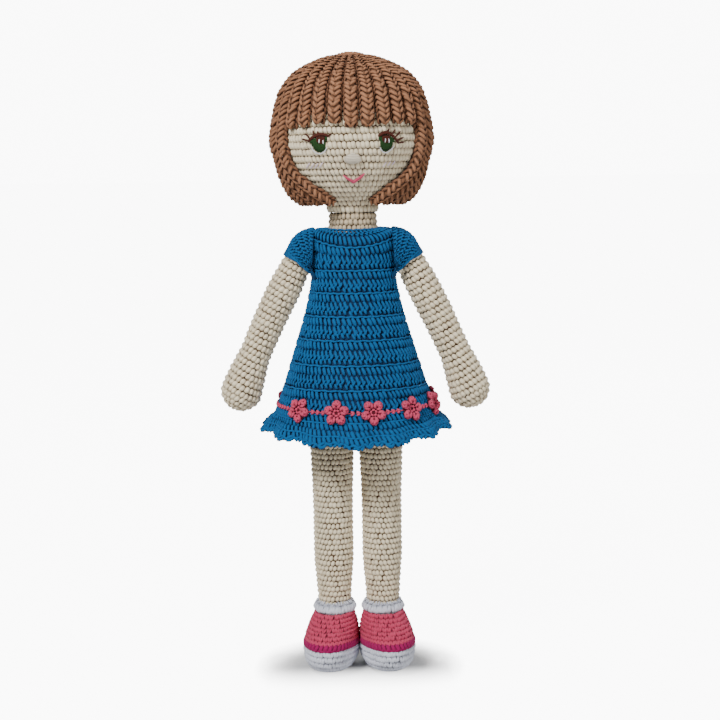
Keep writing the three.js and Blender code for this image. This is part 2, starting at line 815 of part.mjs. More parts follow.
// The stuffing fills the leg and, through the ankle, the shoe.
function legFilling() {
  const inset = SKIN_WALL + FILLING_CLEARANCE;
  const tube = raisedRings(legRows(inset), SHOE_SIDES).reverse();
  const ankle = level(tube[0], LEG_BOTTOM - CLEARANCE);
  const foot = [
    ...soleRoom(inset),
    ...shoeRings(UPPER_SHARES.slice(1, -1), UPPER_BASE, UPPER_HEIGHT, inset),
    ankle,
  ];
  const above = tube.filter((ring) => ring[0].z > CUFF_BASE + CLEARANCE);
  return loft(
    [...foot, ...above],
    undefined,
    new THREE.Vector3(0, 0, HIP_Z + HIP_RADIUS - inset),
  );
}

function leg(side, word) {
  const top = new THREE.Vector3(0, 0, HIP_Z + HIP_RADIUS);
  const tube = loft(raisedRings(legRows(0), LIMB_SIDES), top);
  const rows = legRows(SKIN_WALL);
  rows.push([HIP_Z - LEG_BOTTOM + CUT_OVERRUN, 0, rows.at(-1)[2]]);
  const inside = loft(
    raisedRings(rows, LIMB_SIDES),
    top.clone().setZ(HIP_Z + HIP_RADIUS - SKIN_WALL),
  );
  const cuffInner = ANKLE_RADIUS + CLEARANCE;
  const cuff = new THREE.LatheGeometry(
    [
      [cuffInner, 0],
      [cuffInner + CUFF_WALL, 0],
      [cuffInner + CUFF_WALL * 1.15, CUFF_HEIGHT / 2],
      [cuffInner + CUFF_WALL, CUFF_HEIGHT],
      [cuffInner + CUFF_WALL / 2, CUFF_HEIGHT + CUFF_WALL / 4],
      [cuffInner, CUFF_HEIGHT],
      [cuffInner, 0],
    ].map(([x, y]) => new THREE.Vector2(x, y)),
    SHOE_SIDES,
  )
    .rotateX(Math.PI / 2)
    .translate(0, 0, CUFF_BASE);
  const ankleRoom = facetedRadius(ANKLE_RADIUS + CLEARANCE);
  const ankle = new THREE.CylinderGeometry(ankleRoom, ankleRoom, UPPER_HEIGHT, ROOM_SIDES)
    .rotateX(Math.PI / 2)
    .translate(0, 0, LEG_BOTTOM + UPPER_HEIGHT / 2 - CLEARANCE);
  const upper = cut(
    shoeBand(UPPER_SHARES, UPPER_BASE, UPPER_HEIGHT),
    ankle,
  );
  const sole = soleSolid();
  const stripe = shoeBand(STRIPE_SHARES, STRIPE_BASE, STRIPE_HEIGHT);
  const group = new THREE.Group();
  group.position.x = side * HIP_X;
  group.scale.x = side;
  group.add(
    piece(`leg_skin_${word}`, cut(tube, inside), SKIN),
    piece(`leg_stuffing_${word}`, legFilling().rotateZ(radians(TOE_OUT)), FILL),
    piece(`shoe_sole_${word}`, sole.rotateZ(radians(TOE_OUT)), WHITE),
    piece(`shoe_stripe_${word}`, stripe.rotateZ(radians(TOE_OUT)), MAGENTA),
    piece(`shoe_upper_${word}`, upper.rotateZ(radians(TOE_OUT)), PINK),
    piece(`sock_cuff_${word}`, cuff, WHITE),
  );
  return group;
}

// Round surfaces that the head and hair share: a turn about Z, 0 at the front, and a share from crown to bottom
function roundSurface(bottom, height, halfWidth, heightShares, radiusShares) {
  const outline = new THREE.SplineCurve(
    heightShares.map((share, n) => new THREE.Vector2(radiusShares[n], share)),
  );
  const at = (turn, along) => {
    const { x, y } = outline.getPoint(THREE.MathUtils.clamp(along, 0, 1));
    return new THREE.Vector3(
      x * halfWidth * Math.sin(turn),
      -x * halfWidth * HEAD_DEPTH_SHARE * Math.cos(turn),
      bottom + y * height,
    );
  };
  const step = 0.004;
  const lifted = (turn, along, lift) => {
    const here = THREE.MathUtils.clamp(along, step, 1 - step);
    const sideways = at(turn + step, here).sub(at(turn - step, here));
    const down = at(turn, here + step).sub(at(turn, here - step));
    const normal = down.cross(sideways).normalize();
    return at(turn, along).addScaledVector(normal, lift);
  };
  // The share of the outline at a height, on its lower part unless it is near the crown.
  const alongAt = (z) => {
    let [high, low] = [0, 1];
    for (let n = 0; n < 30; n++) {
      const middle = (high + low) / 2;
      if (at(0, middle).z > z) high = middle;
      else low = middle;
    }
    return (high + low) / 2;
  };
  return { at, lifted, alongAt };
}

const headSurface = roundSurface(
  HEAD_BOTTOM,
  HEAD_HEIGHT,
  HEAD_HALF_WIDTH,
  HEAD_HEIGHT_SHARES,
  HEAD_RADIUS_SHARES,
);
const hairSurface = roundSurface(
  HAIR_BOTTOM,
  HAIR_HEIGHT,
  HAIR_HALF_WIDTH,
  HAIR_HEIGHT_SHARES,
  HAIR_RADIUS_SHARES,
);

function headRings(lift, sides, steps) {
  return Array.from({ length: steps }, (_, n) => {
    const along = (n + 1) / steps;
    return Array.from({ length: sides }, (_, k) =>
      headSurface.lifted((k * WHOLE_TURN) / sides, along, lift),
    );
  });
}

function headSkin() {
  const steps = HEAD_STEPS;
  const crown = new THREE.Vector3(0, 0, HEAD_BOTTOM + HEAD_HEIGHT);
  const outside = loft(headRings(0, BODY_SIDES, steps), crown);
  const hollow = headRings(-SKIN_WALL, BODY_SIDES, steps);
  hollow.push(shifted(hollow.at(-1), -CUT_OVERRUN));
  const inside = loft(hollow, crown.clone().setZ(crown.z - SKIN_WALL));
  return cut(outside, inside);
}

function headFilling() {
  const lift = -SKIN_WALL - FILLING_CLEARANCE;
  const crown = new THREE.Vector3(0, 0, HEAD_BOTTOM + HEAD_HEIGHT + lift);
  const rings = headRings(lift, STUFFING_SIDES, HEAD_STEPS);
  const opening = rings.at(-1).map((p) => new THREE.Vector3(p.x, p.y, HEAD_BOTTOM + CLEARANCE));
  rings[rings.length - 1] = opening;
  return cut(loft(rings, crown), dowel(CLEARANCE));
}

// A small closed patch of the head, with a half-width and half-height in millimetres.
function facePatch(turn, height, halfWidth, halfHeight, low, high, steps) {
  const along = headSurface.alongAt(height);
  const rim = headSurface.at(Math.PI / 2, along).x;
  const onePerMm = (headSurface.alongAt(height - halfHeight) - along) / halfHeight;
  const place = (across, down, lift) => {
    const y = 2 * down - 1;
    const narrow = Math.sqrt(1 - (y * 0.86) ** 2);
    return headSurface.lifted(
      turn + (across * halfWidth * narrow) / rim,
      along + y * halfHeight * onePerMm,
      lift,
    );
  };
  return patch(place, steps, steps, low, high);
}

function face() {
  const flat = () => EYE_THICKNESS;
  const rest = () => CLEARANCE;
  const eyes = [
    ["right", -1],
    ["left", 1],
  ].map(([word, side]) =>
    piece(
      `eye_${word}`,
      facePatch(side * radians(EYE_TURN), EYE_HEIGHT, EYE_HALF_WIDTH, EYE_HALF_HEIGHT, rest, flat, 4),
      EYE_GREEN,
    ),
  );
  const bulge = (across, down) =>
    EYE_THICKNESS + NOSE_BULGE * Math.cos((across * Math.PI) / 2) * Math.sin(down * Math.PI);
  const nose = piece(
    "nose",
    facePatch(0, NOSE_HEIGHT, NOSE_HALF_WIDTH, NOSE_HALF_HEIGHT, rest, bulge, 4),
    SKIN,
  );
  const rim = headSurface.at(Math.PI / 2, headSurface.alongAt(MOUTH_HEIGHT)).x;
  const place = (across, down, lift) => {
    const height = MOUTH_HEIGHT - MOUTH_DROP * (1 - across ** 2) + MOUTH_YARN * (0.5 - down);
    return headSurface.lifted(
      (across * MOUTH_HALF_WIDTH) / rim,
      headSurface.alongAt(height),
      lift,
    );
  };
  const mouth = piece("mouth", patch(place, 8, 1, rest, flat), MOUTH_PINK);
  return [...eyes, nose, mouth];
}

// Hair pieces are sectors between two turns about the crown. The lower ones swing forward round the face.
const BANGS_HALF_SPAN = (BANG_COUNT * BANG_TURN) / 2;

function swung(degrees, along) {
  const beyond = Math.max(0, Math.abs(degrees) - BANGS_HALF_SPAN);
  const share = (1 - beyond / (HALF_TURN_DEGREES - BANGS_HALF_SPAN)) ** 2;
  const lowered = THREE.MathUtils.smoothstep(along, SWING_START_SHARE, SWING_END_SHARE);
  const swing = LOCK_SWING_TURN * lowered * share;
  return radians(degrees - Math.sign(degrees) * swing);
}

// A point of the hair. In front, the lower part draws in round the jaw.
function hairPoint(turn, along, lift) {
  const point = hairSurface.lifted(turn, along, lift);
  const low = THREE.MathUtils.smoothstep(along, SWING_START_SHARE, SWING_END_SHARE);
  const draw = 1 - JAW_DRAW_SHARE * low * Math.max(0, Math.cos(turn));
  return new THREE.Vector3(point.x * draw, point.y * draw, point.z);
}

function hairThickness(along) {
  const grown = THREE.MathUtils.smoothstep(along, 0, THICKENING_SHARE);
  return THREE.MathUtils.lerp(CROWN_HAIR_THICKNESS, SIDE_HAIR_THICKNESS, grown);
}

function strand(name, centre, pitch, end, steps, roundTip) {
  const alongOf = (down) => CROWN_START_SHARE + (end - CROWN_START_SHARE) * down;
  const place = (across, down, lift) => {
    const along = alongOf(down);
    const tip = roundTip ? Math.max(0, (down - 1 + TIP_SHARE) / TIP_SHARE) : 0;
    const narrow = Math.sqrt(1 - TIP_NARROWING_SHARE * tip ** 2);
    const half = (pitch / 2) * across * narrow;
    const radius = hairSurface.at(Math.PI / 2, along).x;
    const gap = (STRAND_GAP / 2 / radius) * across;
    return hairPoint(swung(centre + half, along) - gap, along, lift);
  };
  const low = (across, down) => -hairThickness(alongOf(down));
  const high = (across, down) => {
    const crest = STRAND_EDGE_SHARE + (1 - STRAND_EDGE_SHARE) * Math.cos((across * Math.PI) / 2);
    return -hairThickness(alongOf(down)) * (1 - crest);
  };
  return piece(name, patch(place, 4, steps, low, high), HAIR);
}

// The back of the hair is one ribbed panel that also closes the crown.
function hairBack(from) {
  const alongOf = (down) => CROWN_START_SHARE + (LOCK_END_SHARE - CROWN_START_SHARE) * down;
  const place = (across, down, lift) => {
    const along = alongOf(down);
    const radius = hairSurface.at(Math.PI / 2, along).x;
    const gap = STRAND_GAP / 2 / radius;
    const turn = HALF_TURN_DEGREES + across * (HALF_TURN_DEGREES - from);
    const wrapped = turn > HALF_TURN_DEGREES ? turn - 2 * HALF_TURN_DEGREES : turn;
    const swing = across === 0 ? Math.PI : swung(wrapped, along);
    const whole = turn > HALF_TURN_DEGREES ? swing + WHOLE_TURN : swing;
    return hairPoint(whole - gap * across, along, lift);
  };
  const low = (across, down) => -hairThickness(alongOf(down));
  const high = (across, down) => {
    const rib = Math.abs(Math.cos(((across + 1) * Math.PI * BACK_RIBS) / 2));
    return low(across, down) * (1 - STRAND_EDGE_SHARE) * (1 - rib) * RIB_DEPTH_SHARE;
  };
  const panel = patch(place, BACK_RIBS * RIB_STEPS, LOCK_STEPS, low, high);
  const capEnd = CROWN_START_SHARE * CROWN_CAP_SHARE;
  const ring = (lift) =>
    Array.from({ length: BODY_SIDES }, (_, k) =>
      hairSurface.lifted((k * WHOLE_TURN) / BODY_SIDES, capEnd, lift),
    );
  const topZ = HAIR_BOTTOM + HAIR_HEIGHT;
  const crown = loft(
    [ring(-CROWN_HAIR_THICKNESS), ring(0)],
    new THREE.Vector3(0, 0, topZ - CROWN_HAIR_THICKNESS),
    new THREE.Vector3(0, 0, topZ),
  );
  const bridge = patch(
    (across, down, lift) =>
      hairSurface.lifted(
        Math.PI + across * radians(BRIDGE_HALF_TURN),
        THREE.MathUtils.lerp(capEnd / 2, CROWN_START_SHARE * (2 - CROWN_CAP_SHARE), down),
        lift,
      ),
    6,
    2,
    () => -CROWN_HAIR_THICKNESS,
    () => -CROWN_HAIR_THICKNESS * (1 - CROWN_CAP_SHARE) * 2,
  );
  return piece(
    "hair_back",
    geometryOf(solidOf(panel).add(solidOf(crown)).add(solidOf(bridge))),
    HAIR,
  );
}

function hair() {
  const made = [];
  for (let n = 0; n < BANG_COUNT; n++) {
    const centre = (n - (BANG_COUNT - 1) / 2) * BANG_TURN;
    made.push(strand(`bang_${n + 1}`, centre, BANG_TURN, BANG_END_SHARE, BANG_STEPS, true));
  }
  for (const [word, side] of [
    ["right", -1],
    ["left", 1],
  ]) {
    const inner = side * (BANGS_HALF_SPAN + BANG_TURN / 2);
    const outer = inner + side * BANG_TURN;
    made.push(strand(`front_lock_${word}`, inner, BANG_TURN, LOCK_END_SHARE, LOCK_STEPS, false));
    made.push(strand(`side_lock_${word}`, outer, BANG_TURN, LOCK_END_SHARE, LOCK_STEPS, false));
  }
  made.push(hairBack(BANGS_HALF_SPAN + 2 * BANG_TURN));
  return made;
}

// Flowers and the chain stitch that runs behind them
function flower() {
  const count = PETALS * PETAL_POINTS;
  const ring = (share, z) =>
    Array.from({ length: count }, (_, k) => {
      const turn = (k * WHOLE_TURN) / count;
      const lobe = Math.abs(Math.sin((turn * PETALS) / 2));
      const reach = FLOWER_WAIST_SHARE + (1 - FLOWER_WAIST_SHARE) * Math.sqrt(lobe);
      const radius = share * reach * FLOWER_RADIUS;
      return new THREE.Vector3(radius * Math.sin(turn), radius * Math.cos(turn), z);
    });
  return loft([
    ring(FLOWER_SHOULDER_SHARE, 0),
    ring(1, FLOWER_THICKNESS / 2),
    ring(FLOWER_BOSS_SHARE, FLOWER_THICKNESS),
  ]);
}

function skirtPoint(turn, z, lift) {
  const share = (BODICE_BOTTOM - z) / SKIRT_HEIGHT;
  const [halfWidth, halfDepth] = skirtSection(share, 0);
  const slope = Math.atan2(SKIRT_HALF_WIDTH - BODICE_HALF_WIDTH, SKIRT_HEIGHT);
  const out = new THREE.Vector3(
    Math.sin(turn) / halfWidth,
    -Math.cos(turn) / halfDepth,
    0,
  ).normalize();
  const normal = out.multiplyScalar(Math.cos(slope)).setZ(Math.sin(slope));
  const point = new THREE.Vector3(
    halfWidth * Math.sin(turn),
    -halfDepth * Math.cos(turn),
    z,
  );
  return { point: point.addScaledVector(normal, lift), normal };
}

function flowers() {
  const lift = 2 * (CHAIN_RADIUS + CLEARANCE);
  const side = FLOWER_FRONT_TURNS.at(-1);
  const step = (FLOWER_LAST_TURN - side) / FLOWER_BACK_COUNT;
  const behind = Array.from({ length: FLOWER_BACK_COUNT }, (_, n) => side + (n + 1) * step);
  return [...FLOWER_FRONT_TURNS, ...behind].map((turn, n) => {
    const { point, normal } = skirtPoint(radians(turn), FLOWER_LINE_HEIGHT, lift);
    const mesh = piece(`flower_${n + 1}`, flower(), PINK);
    mesh.position.copy(point);
    mesh.quaternion.setFromUnitVectors(new THREE.Vector3(0, 0, 1), normal);
    return mesh;
  });
}

function flowerChain() {
  const sections = Array.from({ length: CHAIN_STEPS }, (_, n) => {
    const turn = (n * WHOLE_TURN) / CHAIN_STEPS;
    const lift = CHAIN_RADIUS + CLEARANCE;
    const { point, normal } = skirtPoint(turn, FLOWER_LINE_HEIGHT, lift);
    const along = new THREE.Vector3(Math.cos(turn), Math.sin(turn), 0);
    const up = along.cross(normal).normalize();
    return Array.from({ length: CHAIN_SIDES }, (_, k) => {
      const side = (k * WHOLE_TURN) / CHAIN_SIDES;
      return point
        .clone()
        .addScaledVector(normal, CHAIN_RADIUS * Math.cos(side))
        .addScaledVector(up, CHAIN_RADIUS * Math.sin(side));
    });
  });
  const index = [];
  const count = CHAIN_STEPS * CHAIN_SIDES;
  for (let n = 0; n < CHAIN_STEPS; n++)
    for (let k = 0; k < CHAIN_SIDES; k++) {
      const next = (k + 1) % CHAIN_SIDES;
      const a = n * CHAIN_SIDES;
      const b = (a + CHAIN_SIDES) % count;
      index.push(a + k, a + next, b + k, a + next, b + next, b + k);
    }
  return piece("flower_chain", closedGeometry(sections.flat(), index), PINK);
}

const doll = new THREE.Group();
doll.add(
  ...torso(),
  bodice(),
  skirt(),
  ruffle(),
  flowerChain(),
  ...flowers(),
  arm(-1, "right"),
  arm(1, "left"),
  shoulderTie(-1, "right"),
  shoulderTie(1, "left"),
  leg(-1, "right"),
  leg(1, "left"),
  piece("head_skin", headSkin(), SKIN),
  piece("head_stuffing", headFilling(), FILL),
  ...face(),
  ...hair(),
);

export default doll;
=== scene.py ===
"""A stuffed crochet doll, stitch by stitch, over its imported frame. Sizes here are in millimetres."""
import math

import bpy
import numpy as np
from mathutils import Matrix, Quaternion, Vector


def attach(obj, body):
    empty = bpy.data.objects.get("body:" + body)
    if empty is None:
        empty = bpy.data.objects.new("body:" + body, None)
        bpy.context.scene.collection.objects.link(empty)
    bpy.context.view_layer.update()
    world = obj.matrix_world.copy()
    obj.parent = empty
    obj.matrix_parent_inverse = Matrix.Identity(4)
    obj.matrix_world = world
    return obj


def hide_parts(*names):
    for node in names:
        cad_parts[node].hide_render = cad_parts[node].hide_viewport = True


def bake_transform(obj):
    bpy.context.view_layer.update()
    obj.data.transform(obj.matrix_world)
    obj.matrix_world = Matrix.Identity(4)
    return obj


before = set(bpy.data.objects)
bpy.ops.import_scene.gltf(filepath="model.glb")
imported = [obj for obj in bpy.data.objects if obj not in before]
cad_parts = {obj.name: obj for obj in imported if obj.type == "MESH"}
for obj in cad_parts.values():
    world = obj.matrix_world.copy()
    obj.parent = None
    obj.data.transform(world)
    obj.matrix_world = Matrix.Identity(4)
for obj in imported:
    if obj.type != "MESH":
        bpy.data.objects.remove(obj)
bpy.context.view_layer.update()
MM = 0.001
TURN = 2 * math.pi
TINY = 1e-9
RANDOM = np.random.default_rng(11)
SIDES = ((-1, "right"), (1, "left"))

# Camera: a metre in front, at face height, in the photograph's frame
CAMERA = np.array([3.4, -1000.0, 350.0])
AIM = np.array([3.4, 0.0, 215.0])
PIXELS = 720
FOCAL_SHARE = 1466 / PIXELS
ROLL = math.radians(0.88)
SENSOR = 36.0


def add_object(name, data):
    made = bpy.data.objects.new(name, data)
    bpy.context.scene.collection.objects.link(made)
    return made


def stand(made, place, aim, roll=0.0):
    """Puts a camera or light at a place and turns it to its aim."""
    made.rotation_mode = "QUATERNION"
    made.rotation_quaternion = Vector(aim - place).to_track_quat("-Z", "Y") @ Quaternion((0, 0, 1), -roll)
    made.location = Vector(place * MM)


def make_camera():
    data = bpy.data.cameras.new("camera")
    data.sensor_width = SENSOR
    data.lens = SENSOR * FOCAL_SHARE
    camera = add_object("camera", data)
    stand(camera, CAMERA, AIM, ROLL)
    bpy.context.scene.camera = camera


def project(points):
    """Where points show in the frame, in pixels."""
    look = (AIM - CAMERA) / np.linalg.norm(AIM - CAMERA)
    right = np.array([1.0, 0, 0])
    away = points - CAMERA
    depth = away @ look
    x = PIXELS * FOCAL_SHARE * (away @ right) / depth
    y = -PIXELS * FOCAL_SHARE * (away @ np.cross(right, look)) / depth
    c, s = math.cos(ROLL), math.sin(ROLL)
    return np.stack([PIXELS / 2 + x * c + y * s, PIXELS / 2 - x * s + y * c], -1)


make_camera()


# Meshes
STRAND_SIDES = 6
STRAND_FLATNESS = 0.85
STRAND_SHADES = 0.1
TWIST_STARTS = 5


def unit(vectors):
    return vectors / (np.linalg.norm(vectors, axis=-1, keepdims=True) + TINY)


def run_length(points):
    """The length from the first point of each row to each of its points."""
    steps = np.linalg.norm(np.diff(points, axis=-2), axis=-1)
    return np.concatenate([np.zeros((*steps.shape[:-1], 1)), np.cumsum(steps, axis=-1)], -1)


def quads(a, b, closed=True):
    """Faces between two neighbouring rows of point numbers."""
    corners = [a[..., :-1], a[..., 1:], b[..., 1:], b[..., :-1]]
    if closed:
        corners = [a, np.roll(a, -1, -1), np.roll(b, -1, -1), b]
    return np.stack(corners[::-1], -1).reshape(-1, 4)


class Pile:
    """Gathers strands and sheets into one mesh. Each point notes where on its strand it lies, for the
    twist of the yarn, and how much painted shade darkens it: more where it tucks into the fabric, where shade
    falls."""

    def __init__(self):
        self.points, self.loops, self.starts, self.strands, self.tones_and_painted_shade = [], [], [], [], []
        self.point_count = self.loop_count = 0

    def add(self, points, polygons, strand, tone):
        points = points.reshape(-1, 3)
        self.points.append(points)
        self.strands.append(np.broadcast_to(strand.reshape(-1, 3), points.shape))
        self.tones_and_painted_shade.append(np.broadcast_to(tone.reshape(-1), (len(points),)))
        for block in polygons:
            self.loops.append((block + self.point_count).ravel())
            self.starts.append(self.loop_count + np.arange(len(block)) * block.shape[1])
            self.loop_count += block.size
        self.point_count += len(points)

    def tubes(self, path, normal, radius, tone=1.0, rim=-1.0):
        """Closed strands: path is (strands, points, 3), and radius and painted shade level are (strands,
        points). The strand's underside is painted in shade; a rim above -1 keeps that shade from going darker
        than there."""
        n, k = path.shape[:2]
        tangent = unit(np.gradient(path, axis=1))
        side = unit(np.cross(tangent, normal))
        up = np.cross(side, tangent)
        phi = np.arange(STRAND_SIDES) * TURN / STRAND_SIDES
        c, s = np.cos(phi), np.sin(phi)
        ring = c[:, None] * side[:, :, None] + STRAND_FLATNESS * s[:, None] * up[:, :, None]
        points = path[:, :, None] + np.broadcast_to(radius, (n, k))[:, :, None, None] * ring
        strand = np.empty(points.shape)
        strand[..., 0] = c
        strand[..., 1] = np.maximum(s, rim)
        strand[..., 2] = run_length(path)[:, :, None] + RANDOM.uniform(0, TWIST_STARTS, (n, 1, 1))
        grid = np.arange(n * k * STRAND_SIDES).reshape(n, k, STRAND_SIDES)
        caps = np.concatenate([grid[:, 0, ::-1], grid[:, -1]])[:, ::-1]
        tones_and_painted_shade = np.broadcast_to(np.broadcast_to(tone, (n, k))[..., None], points.shape[:3])
        tones_and_painted_shade = tones_and_painted_shade * (1 + RANDOM.uniform(-STRAND_SHADES, STRAND_SHADES, (n, 1, 1)))
        self.add(points, [quads(grid[:, :-1], grid[:, 1:]), caps], strand, tones_and_painted_shade)

    def sheet(self, points, closed=True, tone=0.0):
        """A grid of points, (rows, columns, 3), joined round when closed."""
        grid = np.arange(points[..., 0].size).reshape(points.shape[:2])
        tone = np.broadcast_to(np.asarray(tone, float), grid.shape)
        self.add(points, [quads(grid[:-1], grid[1:], closed)], np.array([[0.0, 1.0, 0.0]]), tone)

    def make(self, name, material):
        mesh = bpy.data.meshes.new(name)
        points, loops, starts = (np.concatenate(k) for k in (self.points, self.loops, self.starts))
        mesh.vertices.add(len(points))
        mesh.vertices.foreach_set("co", (points * MM).astype(np.float32).ravel())
        mesh.loops.add(len(loops))
        mesh.loops.foreach_set("vertex_index", loops.astype(np.int32))
        mesh.polygons.add(len(starts))
        mesh.polygons.foreach_set("loop_start", starts.astype(np.int32))
        mesh.update(calc_edges=True)
        mesh.validate()
        mesh.shade_smooth()
        for word, kind, key, rows in (
            ("strand", "FLOAT_VECTOR", "vector", self.strands), ("tone", "FLOAT", "value", self.tones_and_painted_shade)
        ):
            layer = mesh.attributes.new(word, kind, "POINT")
            layer.data.foreach_set(key, np.concatenate(rows).astype(np.float32).ravel())
        mesh.materials.append(material)
        return add_object(name, mesh)


def piece_on(pile, name, material, body, nodes=()):
    made = pile.make(name, material)
    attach(made, body)
    if nodes:
        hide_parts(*nodes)


# Materials
PLIES = 3.0
TWIST = 2.2
YARN_RELIEF = 0.2 * MM
PLAIN_RELIEF = 0.4 * MM
BRIGHTER_SHARE = 1.1


def linear(rgb):
    rgb = np.array(rgb, float) / 255
    return tuple(np.where(rgb <= 0.04045, rgb / 12.92, ((rgb + 0.055) / 1.055) ** 2.4)) + (1.0,)


def put(tree, node, inputs):
    """Fills a node's sockets with values, or with links from other nodes."""
    for key, value in inputs.items():
        if isinstance(value, bpy.types.NodeSocket):
            tree.links.new(value, node.inputs[key])
        else:
            node.inputs[key].default_value = value


def add_node(tree, kind, inputs, output=0, **settings):
    node = tree.nodes.new("ShaderNode" + kind)
    for key, value in settings.items():
        setattr(node, key, value)
    put(tree, node, inputs)
    return node.outputs[output]


def calculate(tree, operation, *values, clamp=False):
    return add_node(tree, "Math", dict(enumerate(values)), operation=operation, use_clamp=clamp)


def mix_colors(tree, factor, first, second):
    return add_node(tree, "Mix", {0: factor, 6: first, 7: second}, 2, data_type="RGBA")


def noise(tree, where, scale, detail, distortion=0.0):
    return add_node(tree, "TexNoise", {"Vector": where, "Scale": scale, "Detail": detail,
                                       "Distortion": distortion})


def start_material(name, inputs):
    material = bpy.data.materials.new(name)
    material.use_nodes = True
    shader = material.node_tree.nodes["Principled BSDF"]
    put(material.node_tree, shader, inputs)
    return material, material.node_tree, shader


def finish_material(tree, shader, color, height, strength, distance):
    relief = add_node(tree, "Bump", {"Strength": strength, "Distance": distance, "Height": height})
    put(tree, shader, {"Base Color": color, "Normal": relief})


def yarn(name, color, shadow, sheen=0.25, bump=0.35):
    """Plied cotton. Painted shade darkens it to the shadow colour where a strand turns under and where its
    points are marked shaded.
    """
    material, tree, shader = start_material(name, {
        "Roughness": 0.8, "Specular IOR Level": 0.25, "Sheen Weight": sheen, "Sheen Roughness": 0.5,
    })
    strand = add_node(tree, "Attribute", {}, "Vector", attribute_name="strand")
    tone = add_node(tree, "Attribute", {}, "Fac", attribute_name="tone")
    across, upward, along = add_node(tree, "SeparateXYZ", {0: strand}).node.outputs
    angle = calculate(tree, "ARCTAN2", upward, across)
    twist = calculate(tree, "MULTIPLY", along, TWIST)
    wave = calculate(tree, "SINE", calculate(tree, "ADD", calculate(tree, "MULTIPLY", angle, PLIES), twist))
    where = add_node(tree, "TexCoord", {}, "Object")
    patches, fibres = noise(tree, where, 90, 3), noise(tree, where, 2600, 2)
    # Painted shade: each strand's sides and underside go dark, and so do points marked shaded
    painted_crevice_shade = add_node(tree, "MapRange", {"From Min": -0.45, "From Max": 0.75, "Value": upward})
    light = calculate(tree, "MULTIPLY", painted_crevice_shade, calculate(tree, "MINIMUM", tone, 1.0))
    body = mix_colors(tree, light, linear(shadow), linear(color))
    brighter = tuple(min(1.0, c * BRIGHTER_SHARE) for c in linear(color)[:3]) + (1.0,)
    # Brighter random patches and ply lines, scaled by the painted light so they show most on the tops: partly
    # a painted highlight
    speckle_and_highlight = calculate(tree, "ADD", patches, calculate(tree, "MULTIPLY", wave, 0.18))
    speckle_and_highlight = calculate(tree, "MULTIPLY", calculate(tree, "MULTIPLY", speckle_and_highlight, light), 0.8, clamp=True)
    height = calculate(tree, "ADD", calculate(tree, "MULTIPLY", wave, 0.5),
                       calculate(tree, "MULTIPLY", fibres, 0.5))
    finish_material(tree, shader, mix_colors(tree, speckle_and_highlight, body, brighter), height, bump, YARN_RELIEF)
    return material


def plain_material(name, color, dark, scale, stretch=(1, 1, 1), roughness=0.9, bump=0.4):
    """Two colours mixed by a noise that may be stretched into fibres or grain."""
    material, tree, shader = start_material(name, {"Roughness": roughness})
    where = add_node(tree, "TexCoord", {}, "Object")
    grain = noise(tree, add_node(tree, "Mapping", {"Scale": stretch, "Vector": where}), scale, 4, 0.6)
    color = mix_colors(tree, grain, linear(dark), linear(color))
    finish_material(tree, shader, color, grain, bump, PLAIN_RELIEF)
    return material


SKIN = yarn("skin_yarn", (248, 233, 202), (92, 56, 26), sheen=0.06)
NECK = yarn("neck_yarn", (208, 190, 160), (66, 40, 18), sheen=0.08)
HAIR = yarn("hair_yarn", (168, 118, 86), (58, 30, 18), sheen=0.06)
DRESS = yarn("dress_yarn", (7, 91, 147), (2, 31, 64), sheen=0.04)
PINK = yarn("pink_yarn", (202, 66, 100), (88, 8, 26), sheen=0.08)
ROSE = yarn("rose_yarn", (206, 72, 104), (88, 8, 28), sheen=0.08)
MAGENTA = yarn("magenta_yarn", (160, 12, 88), (76, 4, 40), sheen=0.05)
WHITE = yarn("white_yarn", (228, 231, 243), (84, 84, 98), sheen=0.06)
GREEN = yarn("eye_green", (33, 66, 27), (12, 26, 10), sheen=0.02, bump=0.2)
BROWN = yarn("lash_brown", (74, 30, 17), (26, 10, 7), sheen=0.05, bump=0.2)
BRIGHT = yarn("eye_white", (240, 240, 244), (170, 170, 180), bump=0.2)
LIP = yarn("mouth_pink", (214, 82, 112), (120, 30, 52), bump=0.2)
BLUSH = yarn("cheek_lilac", (232, 214, 222), (170, 150, 160), bump=0.2)
NOSE = yarn("nose_cream", (226, 216, 196), (150, 130, 105), bump=0.2)
FIBRE = plain_material("fibre_filling", (242, 240, 232), (196, 192, 180), 260)
WOOD = plain_material("beech_wood", (206, 164, 112), (158, 112, 66), 300, (1, 1, 0.08), 0.55, 0.2)
THREAD = plain_material("waxed_thread", (226, 214, 190), (150, 134, 108), 900, (0.3, 1, 1), 0.6)
BUTTON = plain_material("button_nylon", (216, 206, 186), (196, 184, 160), 120, roughness=0.35, bump=0.1)


# Surfaces
THINNEST = 0.4
FOLDS = 14
FOLD_DROP_SHARE = 0.3
FEWEST_STITCHES = 5
LARGEST_GROWTH, LEAST_GROWTH = 1.15, 0.3
LINK = 5.5


def smooth(rows, count=240):
    """Samples of a Catmull-Rom curve through rows of numbers."""
    rows = np.array(rows, float)
    padded = np.vstack([2 * rows[0] - rows[1], rows, 2 * rows[-1] - rows[-2]])
    spot = np.linspace(0, len(rows) - 1, count)
    i = np.clip(spot.astype(int), 0, len(rows) - 2)
    f = (spot - i)[:, None]
    a, b, c, d = (padded[i + k] for k in range(4))
    curve = 2 * b + (c - a) * f + (2 * a - 5 * b + 4 * c - d) * f**2 + (3 * b - a - 3 * c + d) * f**3
    return curve / 2


def smoothstep(value, low, high):
    t = np.clip((value - low) / (high - low), 0, 1)
    return t * t * (3 - 2 * t)


